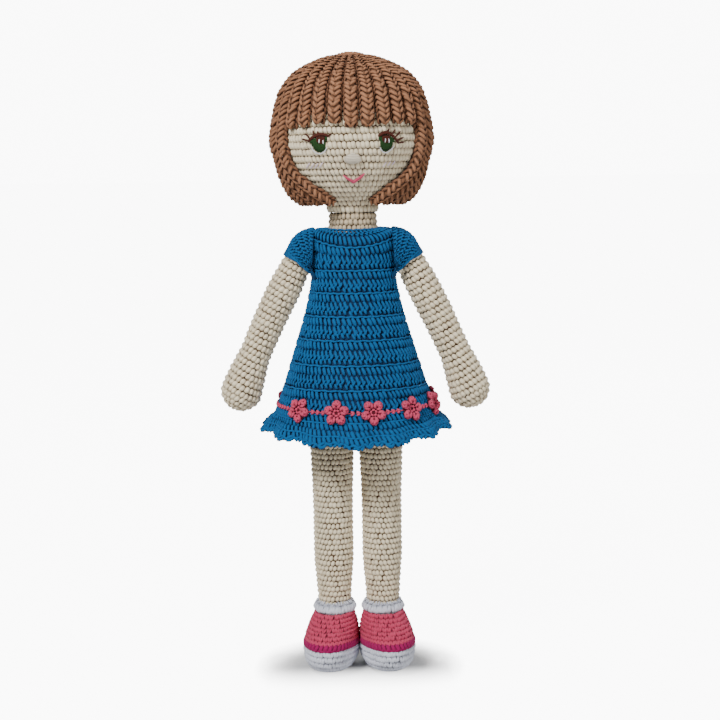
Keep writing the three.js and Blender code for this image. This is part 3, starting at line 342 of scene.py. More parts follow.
class Round:
    """A surface of oval rings. Rows hold z, half-width and half-depth, from the top down, and may add how
    far the sides rise, how deep the ring's folds are, and x. u is 0 in front, and v runs down."""

    def __init__(self, rows, side=1, lean=0.0, pivot=(0, 0, 0)):
        self.table = smooth([(*row, 0, 0, 0)[:6] for row in rows])
        self.table[:, 1:3] = np.maximum(self.table[:, 1:3], THINNEST)
        self.at = run_length(self.table[:, :2])
        self.length = self.at[-1]
        self.side, self.lean, self.pivot = side, lean, pivot

    def row_at(self, z):
        order = np.argsort(self.table[:, 0])
        return float(np.interp(z, self.table[order, 0], self.at[order]))

    def __call__(self, u, v):
        z, a, b, rise, deep, x = (np.interp(v, self.at, column) for column in self.table.T)
        fold = deep * np.cos(FOLDS * u)
        x = x + (a + fold) * np.sin(u)
        z = z + rise * np.sin(u) ** 2 - FOLD_DROP_SHARE * fold
        c, s = math.cos(self.lean), math.sin(self.lean)
        away, forward, upward = self.pivot
        x, y, z = x * c - z * s + away, forward - (b + fold) * np.cos(u), x * s + z * c + upward
        return np.stack([x * self.side, y, z], -1)


def frame_at(surface, u, v, du=0.03, dv=0.4):
    """Points of a surface, and its outward normals there."""
    across = surface(u + du, v) - surface(u - du, v)
    down = surface(u, v + dv) - surface(u, v - dv)
    return surface(u, v), unit(np.cross(down, across) * surface.side)


def lay(pile, surface, u, v, lift, radius, **look):
    """Strands laid on a surface: u, v, lift and radius are (strands, points), or are spread to that."""
    u, v, lift, radius = (np.atleast_2d(k) for k in np.broadcast_arrays(u, v, lift, radius))
    point, normal = frame_at(surface, u, v)
    pile.tubes(point + normal * lift[..., None], normal, radius, **look)


def ring_length(surface, v):
    u = np.linspace(0, TURN, 49)
    return float(run_length(surface(u, np.full_like(u, v)))[-1])


def row_edges(first, last, pitch):
    return np.linspace(first, last, max(1, round(abs(last - first) / pitch)) + 1)


def stitches(pile, surface, edges, width, template, phase=0.0, skew=0.0, span=None, jitter=0.05,
             pitch=None, **look):
    """Rounds of stitches between neighbouring edges, from a template of strands. They are staggered from
    round to round, uneven by the jitter, and smaller where there is less room."""
    rounds = []
    pitch = pitch or abs(edges[-1] - edges[0]) / (len(edges) - 1)
    for n, (top, bottom) in enumerate(zip(edges[:-1], edges[1:])):
        count = max(FEWEST_STITCHES, round(ring_length(surface, (top + bottom) / 2) / width))
        cell = TURN / count
        centre = (np.arange(count) + 0.5 * (n % 2) + phase + skew * n) * cell
        if span is not None:
            wrapped = (centre + math.pi) % TURN - math.pi
            centre = centre[(wrapped > span[0]) & (wrapped < span[1])]
        wobble, swell = RANDOM.uniform(-jitter, jitter, (2, len(centre)))
        head_end, middle, foot = (np.full_like(centre, k) for k in (top, (top + bottom) / 2, bottom))
        wide = surface(centre + cell / 2, middle) - surface(centre - cell / 2, middle)
        high = surface(centre, foot) - surface(centre, head_end)
        room = [np.linalg.norm(wide, axis=1) / width, np.linalg.norm(high, axis=1) / pitch]
        grow = np.minimum(np.min(room, axis=0), LARGEST_GROWTH)
        columns = [centre, wobble, 1 + swell, grow, np.full_like(centre, cell), head_end, foot - head_end]
        rounds.append(np.array(columns)[:, grow > LEAST_GROWTH])
    centre, wobble, swell, grow, cell, start, pace = np.concatenate(rounds, 1)[..., None]
    for across, down, lift, radius, tone in template:
        u = centre + (across + wobble) * cell
        v = start + (down + wobble * 0.6) * pace
        lay(pile, surface, u, v, lift * grow, radius * swell * grow, tone=tone, **look)


def backing(pile, surface, first, last, depth, columns=48, step=2.5, tone=0.0, span=None):
    """A sheet just under the stitches for the inside of the fabric, painted dark as shade where it shows
    between them.
    """
    u = np.arange(columns) * TURN / columns if span is None else np.linspace(*span, columns)
    v = np.linspace(first, last, max(3, int(abs(last - first) / step)))
    point, normal = frame_at(surface, *np.meshgrid(u, v))
    pile.sheet(point - normal * depth, closed=span is None, tone=tone)


def rope(pile, surface, v, radius, lift=0.0, wave=0.0, waves=0, link=LINK, span=None):
    """A thin line of overlapping links, right round a surface or over a span of it."""
    first, last = span or (0.0, TURN)
    overlap, points = (0.06, 6) if span else (0.08, 7)
    count = round(ring_length(surface, v) * (last - first) / TURN / link)
    cell = (last - first) / count
    u = first + (np.arange(count)[:, None] + np.linspace(-overlap, 1 + overlap, points)) * cell
    full = np.sin(np.linspace(0, math.pi, points))
    lay(pile, surface, u, v + wave * np.sin(waves * u), lift - 0.25 * (1 - full), radius * (0.7 + 0.3 * full))


# Templates of stitches
def bent(across, down, lift, radius, tone=(0.4, 0.95, 1, 0.95, 0.4)):
    """One bent strand: cell widths across, rows down, lift and radius in millimetres, and the painted shade
    level, which darkens the ends, where the strand tucks into the fabric and shade falls."""
    return [np.array(row, float) for row in (across, down, lift, radius, tone)]


def pillow(radius, lean=0.1, gap=0.1, sink=0.15):
    """The plain stitch of the skin: one plump upright leg, with a spot of painted shade at each of its
    corners.
    """
    lift = radius * np.array([-0.3, 0.8, 1, 0.8, -0.4]) - radius - sink
    return [bent(lean * np.array([-1, -0.6, 0, 0.6, 1]), (gap, gap + 0.14, 0.5, 0.86 - gap, 0.98 - gap),
                 lift, radius * np.array([0.62, 0.98, 1.05, 0.98, 0.62]), (0.0, 0.72, 1, 0.78, 0.0))]


def single(radius, low):
    """Two plump legs that lean together, with a gap at the foot of each stitch."""
    lift = low + np.array([-0.9, 0.7 * radius, 1.25 * radius, 0.7 * radius, -1])
    swell = radius * np.array([0.6, 0.97, 1.08, 0.97, 0.55])
    rest = ((-0.06, 0.14, 0.45, 0.78, 1.02), lift, swell, (0, 0.7, 1, 0.8, 0))
    return [bent((-0.36, -0.33, -0.25, -0.16, -0.08), *rest), bent((0.36, 0.32, 0.24, 0.16, 0.1), *rest)]


def posts(radius, low=-1.1):
    """A slanted post with an open slit beside it, under the chain of small Vs that heads each row."""
    swell = radius * np.array([0.7, 1, 1.06, 1, 0.7])
    return [
        bent((-0.34, -0.24, -0.04, 0.12, 0.2), (-0.04, 0.12, 0.3, 0.48, 0.64),
             (low, 0.05, 0.3, 0.2, low), swell, (0.4, 0.9, 1, 0.9, 0.45)),
        bent((0.4, 0.36, 0.22, 0.06, -0.08), (0.3, 0.42, 0.54, 0.64, 0.76),
             (low, 0.1, 0.35, 0.2, low), 0.92 * swell, (0.4, 0.85, 1, 0.9, 0.45)),
        bent((-0.44, -0.34, -0.2, -0.06, 0.04), (0.62, 0.68, 0.78, 0.9, 1.02),
             (low, 0.15, 0.4, 0.2, low), 0.92 * swell, (0.5, 0.95, 1, 0.9, 0.5)),
    ]


def slants(radius, low=-1.1):
    """A short strand that leans to the right."""
    return [bent((-0.36, -0.26, -0.04, 0.16, 0.28), (-0.06, 0.2, 0.5, 0.8, 1.06), (low, 0.2, 0.45, 0.2, low),
                 radius * np.array([0.7, 1, 1.08, 1, 0.7]), (0.5, 0.9, 1, 0.9, 0.5))]


def tips(radius, low=-0.9):
    """Legs that meet in a point, which hangs over the row below."""
    swell = radius * np.array([0.6, 1, 1.05, 0.9, 0.5])
    rest = ((-0.05, 0.3, 0.66, 1.0, 1.3), (low, 0.3, 0.5, 0.5, -0.2), swell)
    return [bent((-0.42, -0.36, -0.24, -0.08, 0), *rest), bent((0.42, 0.36, 0.24, 0.08, 0), *rest)]


# Head
HEAD_BOTTOM, HEAD_HEIGHT, HEAD_RADIUS, HEAD_DEPTH_SHARE = 316.4, 102.8, 48.8, 0.94
HEAD_HEIGHT_SHARES = [1, 0.98, 0.948, 0.9125, 0.877, 0.842, 0.778, 0.722, 0.6615, 0.587, 0.527, 0.463,
                      0.4045, 0.3265, 0.239, 0.1415, 0.084, 0.0395, 0]
HEAD_RADIUS_SHARES = [0.02, 0.273, 0.446, 0.573, 0.675, 0.746, 0.838, 0.886, 0.922, 0.961, 0.988, 1,
                      0.977, 0.895, 0.783, 0.603, 0.44, 0.352, 0.34]
FACE_TOP, JAW_TOP = 392, 345
FACE_PITCH, FACE_STITCH = 5.0, 2.95
FACE_SPANS = ((FACE_TOP, (-1.6, 1.6)), (JAW_TOP, (-4, -1.6)), (JAW_TOP, (1.6, 4)))
head = Round([
    (HEAD_BOTTOM + h * HEAD_HEIGHT, r * HEAD_RADIUS, r * HEAD_RADIUS * HEAD_DEPTH_SHARE)
    for h, r in zip(HEAD_HEIGHT_SHARES, HEAD_RADIUS_SHARES)
])


def make_head():
    """The face, and the jaw all round: the hair covers the rest."""
    pile = Pile()
    backing(pile, head, 0, head.length, 1.3)
    for top, span in FACE_SPANS:
        edges = row_edges(head.row_at(top), head.length, FACE_PITCH)
        stitches(pile, head, edges, FACE_STITCH, pillow(1.62, 0.2), skew=0.08, span=span, jitter=0.08,
                 rim=0.0)
    piece_on(pile, "head_crochet", SKIN, "head", ["head_skin"])


make_head()

# Torso and neck: shares of the height, half-width and half-depth
TORSO_BOTTOM, TORSO_HEIGHT, TORSO_HALF_WIDTH, TORSO_HALF_DEPTH = 187, 129, 31, 20.5
TORSO_SHARES = [(1, 0.525, 0.79), (0.93, 0.545, 0.81), (0.873, 0.6, 0.82), (0.85, 0.77, 0.86),
                (0.82, 0.835, 0.89), (0.76, 0.84, 0.91), (0.6, 0.83, 0.92), (0.42, 0.88, 0.94),
                (0.24, 0.97, 0.98), (0.1, 1, 1), (0.04, 0.88, 0.9), (0, 0.62, 0.66)]
NECK_TOP, NECK_BOTTOM, HIPS_TOP = 316.6, 298, 216
torso = Round([
    (TORSO_BOTTOM + s * TORSO_HEIGHT, w * TORSO_HALF_WIDTH, d * TORSO_HALF_DEPTH) for s, w, d in TORSO_SHARES
])


def make_torso():
    """The neck and the hips: the dress covers what lies between."""
    pile = Pile()
    backing(pile, torso, 0, torso.length, 1.4, step=4)
    neck = row_edges(torso.row_at(NECK_TOP), torso.row_at(NECK_BOTTOM), 3.9)
    stitches(pile, torso, neck, 3.3, pillow(1.6, 0.05, sink=1.0), skew=0.1, jitter=0.08, rim=0.1)
    stitches(pile, torso, row_edges(torso.row_at(HIPS_TOP), torso.length, 4.2), 3.3, pillow(1.6), skew=0.1,
             rim=0.3)
    piece_on(pile, "torso_crochet", NECK, "torso", ["torso_skin"])


make_torso()

# Arms and legs
SHOULDER_X, SHOULDER_Z, SHOULDER_RADIUS = 35.6, 288.0, 8.9
ARM_LENGTH, ARM_RADIUS, ARM_LEAN = 102.0, 10.4, math.radians(27.5)
HAND_RADIUS, HAND_BEND = 13.6, 5.0
ARM_SHARES = [0.1, 0.22, 0.36, 0.5, 0.64, 0.76, 0.88, 1]
ARM_RADIUS_SHARES = [0.92, 1.02, 1.03, 1.01, 0.98, 1.01, 1.18, 1.3]
HIP_X, HIP_Z, HIP_RADIUS, LEG_BOTTOM = 16.9, 186.0, 14.5, 39.0
LEG_SHARES = [0.12, 0.26, 0.42, 0.58, 0.74, 0.86, 0.94, 1]
LEG_RADIUS_SHARES = [1, 0.98, 0.92, 0.905, 0.9, 0.81, 0.755, 0.75]


def limb(side, pivot, dome, length, radius, shares, radius_shares, lean=0.0, bend=0.0, hand=0.0):
    """A stuffed limb that hangs from its pivot: a dome, a length that swells and tapers, and a hand."""
    rows = [(dome * math.sin(t), dome * math.cos(t), 0) for t in math.pi / 2 * (1 - np.arange(6) / 5)]
    rows += [(-share * length, r * radius, -bend * share**3) for share, r in zip(shares, radius_shares)]
    if hand:
        rows += [(-length - hand * math.sin(t), hand * math.cos(t), -bend)
                 for t in math.pi / 2 * np.arange(1, 7) / 6]
    return Round([(z, r, r, 0, 0, x) for z, r, x in rows], side, lean, pivot)


def arm_surface(side):
    return limb(side, (SHOULDER_X, 0, SHOULDER_Z), SHOULDER_RADIUS, ARM_LENGTH, ARM_RADIUS, ARM_SHARES,
                ARM_RADIUS_SHARES, ARM_LEAN, HAND_BEND, HAND_RADIUS)


def make_arm(side, word):
    surface, pile = arm_surface(side), Pile()
    end = surface.length
    backing(pile, surface, 0, end, 1.5, columns=28)
    stitches(pile, surface, row_edges(12, end - 1.2, 4.2), 3.3, pillow(1.72, 0.22, 0.16), skew=0.12,
             phase=0.3 * side, jitter=0.1, rim=-0.2)
    backing(pile, surface, end - 3.4, end, -0.1, columns=12, step=0.8, tone=0.85)
    piece_on(pile, f"arm_crochet_{word}", SKIN, f"arm_{word}", [f"arm_skin_{word}"])


def make_leg(side, word):
    surface, pile = limb(side, (HIP_X, 0, HIP_Z), HIP_RADIUS, HIP_Z - LEG_BOTTOM, HIP_RADIUS, LEG_SHARES,
                         LEG_RADIUS_SHARES), Pile()
    backing(pile, surface, 0, surface.length, 1.4, columns=30)
    stitches(pile, surface, row_edges(4, surface.length, 3.75), 3.0, pillow(1.5, 0.16, 0.16), skew=0.1,
             phase=0.2 * side, jitter=0.1, rim=-0.15)
    piece_on(pile, f"leg_crochet_{word}", SKIN, f"leg_{word}", [f"leg_skin_{word}"])


for make_limb in (make_arm, make_leg):
    for side, word in SIDES:
        make_limb(side, word)

# Hair: each lock lies along one curve from the crown down
HAIR_BOTTOM, HAIR_HEIGHT, HAIR_RADIUS = 318.0, 105.6, 55.4
HAIR_HEIGHT_SHARES = [1, 0.976, 0.941, 0.905, 0.8655, 0.792, 0.7055, 0.535, 0.4215, 0.284, 0.208, 0.1355,
                      0.068, 0.0265, 0]
HAIR_RADIUS_SHARES = [0.02, 0.3, 0.483, 0.62, 0.725, 0.84, 0.915, 0.985, 1, 0.935, 0.903, 0.845, 0.75,
                      0.63, 0.49]
HAIR_CURVE = smooth([
    (r * HAIR_RADIUS, HAIR_BOTTOM + h * HAIR_HEIGHT) for h, r in zip(HAIR_HEIGHT_SHARES, HAIR_RADIUS_SHARES)
], 280)
HAIR_AT = run_length(HAIR_CURVE)
HAIR_SHARE = np.linspace(0, 1, len(HAIR_CURVE))
BANG_TURN, BANG_COUNT, BACK_COUNT = 12.5, 9, 14
BANGS_HALF_SPAN = BANG_TURN * BANG_COUNT / 2
LOCK_START_SHARE, BANG_END_SHARE, LOCK_END_SHARE = 0.045, 0.503, 0.955
LOCK_THICKNESS, BACK_THICKNESS = 6.4, 6.0
BANG_TIP, LOCK_TIP = 4.8, 3.0
LOCK_ROLL, LOCK_WIDTH_SHARE = 1.42, 0.87
SWING_TURN, JAW_DRAW_SHARE, SWING_START_SHARE, SWING_END_SHARE = 32, 0.27, 0.6, 0.95
LOCK_PITCH = 3.5
CROWN_Z = 422.5


def on_hair(at):
    """Radius and height of the curve."""
    return np.array([np.interp(at, HAIR_AT, column) for column in HAIR_CURVE.T])


class Lock:
    """One lock of hair, a long sausage that lies on the head: u runs across it from -1 to 1 and v runs
    along it from the crown. Its tip rounds off, and the longer locks swing in to the jaw."""

    side = 1

    def __init__(self, centre, turn, end_share, thickness, tip):
        self.centre, self.turn, self.thickness, self.tip = centre, turn, thickness, tip
        # Painted shade: locks further round to the sides are darker, as the light falls off there
        self.tone = 1 - 0.28 * float(smoothstep(abs(centre), 40, 80))
        self.first, last = np.interp((LOCK_START_SHARE, end_share), HAIR_SHARE, HAIR_AT)
        self.length = last - self.first

    def __call__(self, u, v):
        spot = v + self.first
        radius, z = on_hair(spot)
        slope_r, slope_z = on_hair(spot + 0.8) - on_hair(spot - 0.8)
        size = np.hypot(slope_r, slope_z) + TINY
        share = np.interp(spot, HAIR_AT, HAIR_SHARE)
        fill = np.sqrt(1 - 0.97 * np.clip((v - self.length + self.tip) / self.tip, 0, 1) ** 2)
        slim = 1 - 0.1 * smoothstep(v, self.length - 22, self.length)
        half = math.radians(self.turn) / 2 * radius * LOCK_WIDTH_SHARE * slim * fill
        angle = u * LOCK_ROLL
        depth = self.thickness * (0.5 + 0.5 * smoothstep(share, 0, 0.25))
        sink = depth * (1 - np.cos(angle) * fill) + 0.7
        out = half * np.sin(angle) / math.sin(LOCK_ROLL)
        degrees = self.centre + np.degrees(out / np.maximum(radius, 2))
        beyond = np.maximum(0, np.abs(degrees) - BANGS_HALF_SPAN)
        near = (1 - beyond / (180 - BANGS_HALF_SPAN)) ** 2
        swing = smoothstep(share, SWING_START_SHARE, SWING_END_SHARE)
        turn = np.radians(degrees - np.sign(degrees) * SWING_TURN * swing * near)
        draw = 1 - JAW_DRAW_SHARE * swing * np.maximum(0, np.cos(turn))
        r, z = (radius + sink * slope_z / size) * draw, z - sink * slope_r / size
        return np.stack([r * np.sin(turn), -HEAD_DEPTH_SHARE * r * np.cos(turn), z], -1)


# Strands of a lock: across in half-widths, down in rows, lift, radius and painted shade level, darker towards
# the grooves
LOCK_SWELL = np.array([0.66, 0.98, 1.06, 0.98, 0.6])
CHEVRON = bent((0.72, 0.58, 0.36, 0.16, 0.0), (-0.62, -0.38, 0.05, 0.5, 0.86), (-0.6, 0.15, 0.35, 0.3, -0.6),
               1.5 * LOCK_SWELL, (0.6, 0.9, 1, 1, 0.4))
EDGE_BUMP = bent((0.7, 0.78, 0.84, 0.88, 0.9), (-0.5, -0.2, 0.1, 0.4, 0.7), (-0.7, 0.1, 0.2, 0.0, -0.8),
                 1.35 * LOCK_SWELL, (0.6, 0.75, 0.7, 0.4, 0.1))


def lock_stitches(pile, lock):
    """Nested chevrons down the middle, with a column of slanted bumps on each side."""
    v = np.linspace(0, lock.length - 0.02, max(6, int(lock.length / 2)))
    u, v = np.meshgrid(np.linspace(-1, 1, 13), v)
    point, normal = frame_at(lock, u, np.minimum(v, lock.length - 0.5), du=0.06)
    # A sheet under the lock in painted shade, darkest at its edges, in the grooves between locks
    pile.sheet(point - normal * 0.75, closed=False, tone=0.55 * (1 - smoothstep(np.abs(u), 0.5, 0.85)))
    start = RANDOM.uniform(0.2, LOCK_PITCH)
    room = lock.length - 0.6 - start
    count = int(room / LOCK_PITCH)
    edges = start + np.arange(count) * room / count
    wide = np.linalg.norm(lock(0.8, edges + 1) - lock(-0.8, edges + 1), axis=-1)
    size = np.clip(wide / 10.4, 0.3, 1.1)[:, None]
    for sign in (-1, 1):
        for across, down, lift, radius, tone in (CHEVRON, EDGE_BUMP):
            wobble = RANDOM.uniform(-0.1, 0.1, (count, 1))
            u = sign * (across + wobble)
            v = np.minimum(edges[:, None] + (down + 0.5 + wobble) * LOCK_PITCH, lock.length - 0.45)
            # Painted shade, darker towards the grooves at the lock's edges, with a little random change from
            # row to row
            shade = lock.tone * tone * RANDOM.uniform(0.84, 1.06, (count, 1))
            shade = shade * (1 - 0.45 * smoothstep(np.abs(u), 0.55, 0.9))
            lay(pile, lock, u, v, lift * size, radius * size, tone=shade)


def make_lock(name, centre, end_share, tip, node):
    pile = Pile()
    lock_stitches(pile, Lock(centre, BANG_TURN, end_share, LOCK_THICKNESS, tip))
    piece_on(pile, name, HAIR, "head", [node])


def crown(pile):
    """The small disc of rounds that closes the top."""
    u, v = np.meshgrid(np.arange(24) * TURN / 24, [0.05, 4.0, 8.0, 12.0])
    # A disc of painted shade under the rounds
    pile.sheet(np.stack([v * np.sin(u), -v * np.cos(u), CROWN_Z - 1.1 - 0.022 * v**2], -1)[::-1], tone=0.4)
    for radius in (1.3, 3.5, 5.7, 7.9, 10.1):
        count = max(4, round(TURN * radius / 2.8))
        for k in range(count):
            u = TURN * (k + np.linspace(-0.12, 1.12, 5)) / count
            z = CROWN_Z - 0.02 * radius**2 + 0.3 * np.sin(u * 9)
            path = np.stack([radius * np.sin(u), -radius * np.cos(u), z], -1)
            pile.tubes(path[None], np.array([0, 0, 1.0]), np.array([0.7, 1.15, 1.25, 1.15, 0.7]))


def make_hair():
    for n in range(BANG_COUNT):
        end_share = BANG_END_SHARE + RANDOM.uniform(-0.008, 0.008)
        make_lock(f"bang_yarn_{n + 1}", (n - (BANG_COUNT - 1) / 2) * BANG_TURN, end_share, BANG_TIP,
                  f"bang_{n + 1}")
    for side, word in SIDES:
        for place, name in ((0.5, "front"), (1.5, "side")):
            make_lock(f"{name}_yarn_{word}", side * (BANGS_HALF_SPAN + place * BANG_TURN), LOCK_END_SHARE,
                      LOCK_TIP, f"{name}_lock_{word}")
    pile = Pile()
    start = BANGS_HALF_SPAN + 2 * BANG_TURN
    turn = (360 - 2 * start) / BACK_COUNT
    for n in range(BACK_COUNT):
        centre = start + (n + 0.5) * turn
        centre = centre - 360 if centre > 180 else centre
        lock_stitches(pile, Lock(centre, turn, LOCK_END_SHARE, BACK_THICKNESS, LOCK_TIP))
    crown(pile)
    piece_on(pile, "hair_back_yarn", HAIR, "head", ["hair_back"])


make_hair()

# Dress
dress = Round([
    (304.6, 18.7, 18.7, 0.6), (304.4, 20.4, 20.0, 1.0), (300.6, 25.5, 21.4, 4.4), (296.0, 28.3, 22.3, 7.0),
    (289.5, 28.9, 22.9, 4.2), (280, 28.7, 23.0), (270, 28.6, 23.0), (261, 30.2, 23.6), (252, 32.2, 24.8),
    (240, 35.6, 28.0), (226, 39.9, 31.8), (214, 43.6, 35.2), (202, 47.4, 38.6), (190, 51.2, 42.0, 0.6),
    (178.2, 54.9, 45.4, 1.6),
])
RIDGES = [304.5, 294.6, 279.2, 264.0, 248.4, 232.8, 216.4, 200.4, 184.0, 178.4]
WAIST_RIDGE = 4
BODICE_BOTTOM, SKIRT_TOP = 251.8, 252.2
LOW_ROW = 9
DRESS_STITCH, NECK_STITCH, RUFFLE_STITCH = 3.05, 2.9, 3.0
DRESS_JITTER = 0.12
SEAM_OVERLAP = 0.012


def dress_rows(pile, levels, span=None):
    """Each row has a ridge, a round of slants and a round of posts. A low row has slants alone."""
    look = {"span": span, "jitter": DRESS_JITTER}
    for n, (top, bottom) in enumerate(zip(levels[:-1], levels[1:])):
        high, low = dress.row_at(top), dress.row_at(bottom)
        pitch = low - high
        edges = high + 0.1 * pitch, high + 0.43 * pitch, low
        ridge_share = 0.05 if pitch < LOW_ROW else 0.07
        rope(pile, dress, high + ridge_share * pitch, 0.78, lift=0.45, wave=0.25, waves=31, span=span)
        if pitch < LOW_ROW:
            stitches(pile, dress, edges[::2], DRESS_STITCH, slants(1.22), span=span)
        else:
            stitches(pile, dress, edges[:2], DRESS_STITCH, slants(1.18), phase=0.37 * n, **look)
            stitches(pile, dress, edges[1:], DRESS_STITCH, posts(1.02), phase=0.21 * n, **look)


def make_bodice():
    pile = Pile()
    backing(pile, dress, 0, dress.row_at(BODICE_BOTTOM), 0.9, columns=64, tone=0.1)
    rope(pile, dress, 0.6, 1.15, lift=0.3)
    neck = np.linspace(0.8, dress.row_at(RIDGES[1]), 3)
    stitches(pile, dress, neck[:2], NECK_STITCH, posts(1.1))
    stitches(pile, dress, neck[1:], NECK_STITCH, slants(1.25), phase=0.3)
    dress_rows(pile, RIDGES[1:WAIST_RIDGE + 1])
    piece_on(pile, "bodice_crochet", DRESS, "torso", ["dress_bodice"])


make_bodice()


def hip_weights(piece, centres=None):
    """Reads the points of a piece, in millimetres. With centres, each point is swapped for the nearest
    centre, as for a knot or a flower. Nothing is set from them."""
    points = np.empty(len(piece.data.vertices) * 3, np.float32)
    piece.data.vertices.foreach_get("co", points)
    points = points.reshape(-1, 3) / MM
    if centres is not None:
        gap = [np.sum((points - centre) ** 2, axis=1) for centre in centres]
        points = np.array(centres)[np.argmin(gap, axis=0)]


def bend_with_leg(piece, nodes=(), centres=None):
    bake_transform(piece)
    hip_weights(piece, centres)
    if nodes:
        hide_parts(*nodes)


def half_span(side, overlap=0.0):
    """Half a ring, cut down the middle in front and behind."""
    return (-overlap, math.pi + overlap) if side > 0 else (-math.pi - overlap, overlap)


def make_skirt(side, word):
    pile = Pile()
    backing(pile, dress, dress.row_at(SKIRT_TOP), dress.length, 0.9, 40, tone=0.1, span=half_span(side))
    dress_rows(pile, RIDGES[WAIST_RIDGE:], half_span(side, SEAM_OVERLAP))
    bend_with_leg(pile.make(f"skirt_crochet_{word}", DRESS), ["dress_skirt"] if side > 0 else [])


# The ruffle flares from the skirt, folds, and ends in small scallops
ruffle = Round([
    (178.6, 54.9, 45.4, 1.6, 0), (174.6, 57.2, 47.6, 3.4, 0.6), (170.4, 60.0, 50.2, 5.0, 1.2),
    (166.4, 62.6, 52.8, 6.2, 1.9), (163.6, 64.2, 54.4, 6.8, 2.4),
])
HEM_LINK, SCALLOP = 4.2, 6.6


def scallops(pile, v, span):
    """Small picots along the hem: a knob on every other stitch."""
    count = round(ring_length(ruffle, v) * (span[1] - span[0]) / TURN / SCALLOP)
    cell = (span[1] - span[0]) / count
    t = np.linspace(-1, 1, 7)
    u = span[0] + (np.arange(count) + 0.5)[:, None] * cell + 0.36 * cell * t
    bow = (2.2 + RANDOM.uniform(-0.3, 0.6, (count, 1))) * (1 - t**2)
    lay(pile, ruffle, u, v - 0.5 + bow, 0.1, 1.3 * (0.75 + 0.25 * np.cos(t * 1.4)))


def make_ruffle(side, word):
    pile, span = Pile(), half_span(side)
    for depth, ends in ((0.9, span), (1.9, span[::-1])):
        backing(pile, ruffle, 0, ruffle.length - 0.6, depth, columns=90, step=1.8, tone=0.35, span=ends)
    span = half_span(side, SEAM_OVERLAP)
    look = {"span": span, "jitter": DRESS_JITTER}
    edges = np.linspace(0, ruffle.length - 2.2, 4)
    rope(pile, ruffle, 0.3, 0.85, lift=0.6, span=span)
    stitches(pile, ruffle, edges[:2], RUFFLE_STITCH, slants(1.25), **look)
    stitches(pile, ruffle, edges[1:3], RUFFLE_STITCH, slants(1.25), phase=0.4, **look)
    rope(pile, ruffle, edges[2], 0.85, lift=0.5, span=span)
    stitches(pile, ruffle, edges[2:], RUFFLE_STITCH, slants(1.3), phase=0.2, **look)
    rope(pile, ruffle, edges[3], 1.15, lift=0.2, wave=0.8, waves=60, link=HEM_LINK, span=span)
    scallops(pile, edges[3] + 0.8, span)
    bend_with_leg(pile.make(f"ruffle_crochet_{word}", DRESS), ["hem_ruffle"] if side > 0 else [])


# Sleeves: half-height, half-depth, x and z from the shoulder, at the armhole and at the hem
ARMHOLE, SLEEVE_HEM = np.array([16.6, 15.6, -7.6, 0.8]), np.array([13.1, 12.6, -0.8, -6.6])
SLEEVE_PUFF, SLEEVE_TILT = 2.4, math.radians(49)


class Sleeve:
    """A puff from the armhole to the hem. u is 0 at the top."""

    length = 26.0

    def __init__(self, side):
        self.side = side

    def __call__(self, u, v):
        share = v / self.length
        tilt = SLEEVE_TILT * np.clip(share, -0.4, 1.2)
        puff = SLEEVE_PUFF * np.sin(math.pi * np.clip(share, 0, 1)) + 0.3
        tall, deep, x, z = (a + (b - a) * share for a, b in zip(ARMHOLE, SLEEVE_HEM))
        up = (tall + puff) * np.cos(u)
        x, z = x + up * np.sin(tilt) + SHOULDER_X, z + up * np.cos(tilt) + SHOULDER_Z
        return np.stack([self.side * x, (deep + puff) * np.sin(u), z], -1)


def make_sleeve(side, word):
    surface, pile = Sleeve(side), Pile()
    end = surface.length
    backing(pile, surface, -1.5, end, 0.9, columns=40, tone=0.35)
    backing(pile, surface, end, end - 6, 2.0, columns=40)
    edges = np.linspace(-1.5, end - 1.2, 6)
    for n in range(5):
        stitches(pile, surface, edges[n:n + 2], DRESS_STITCH, posts(1.12), phase=0.3 * n, pitch=5.6)
    rope(pile, surface, end - 0.6, 1.15, lift=0.3)
    backing(pile, arm_surface(side), 3, 19, -2.0, columns=36, tone=0.6)
    piece_on(pile, f"sleeve_crochet_{word}", DRESS, f"arm_{word}", [f"sleeve_{word}"])


for make_cloth in (make_skirt, make_ruffle, make_sleeve):
    for side, word in SIDES:
        make_cloth(side, word)

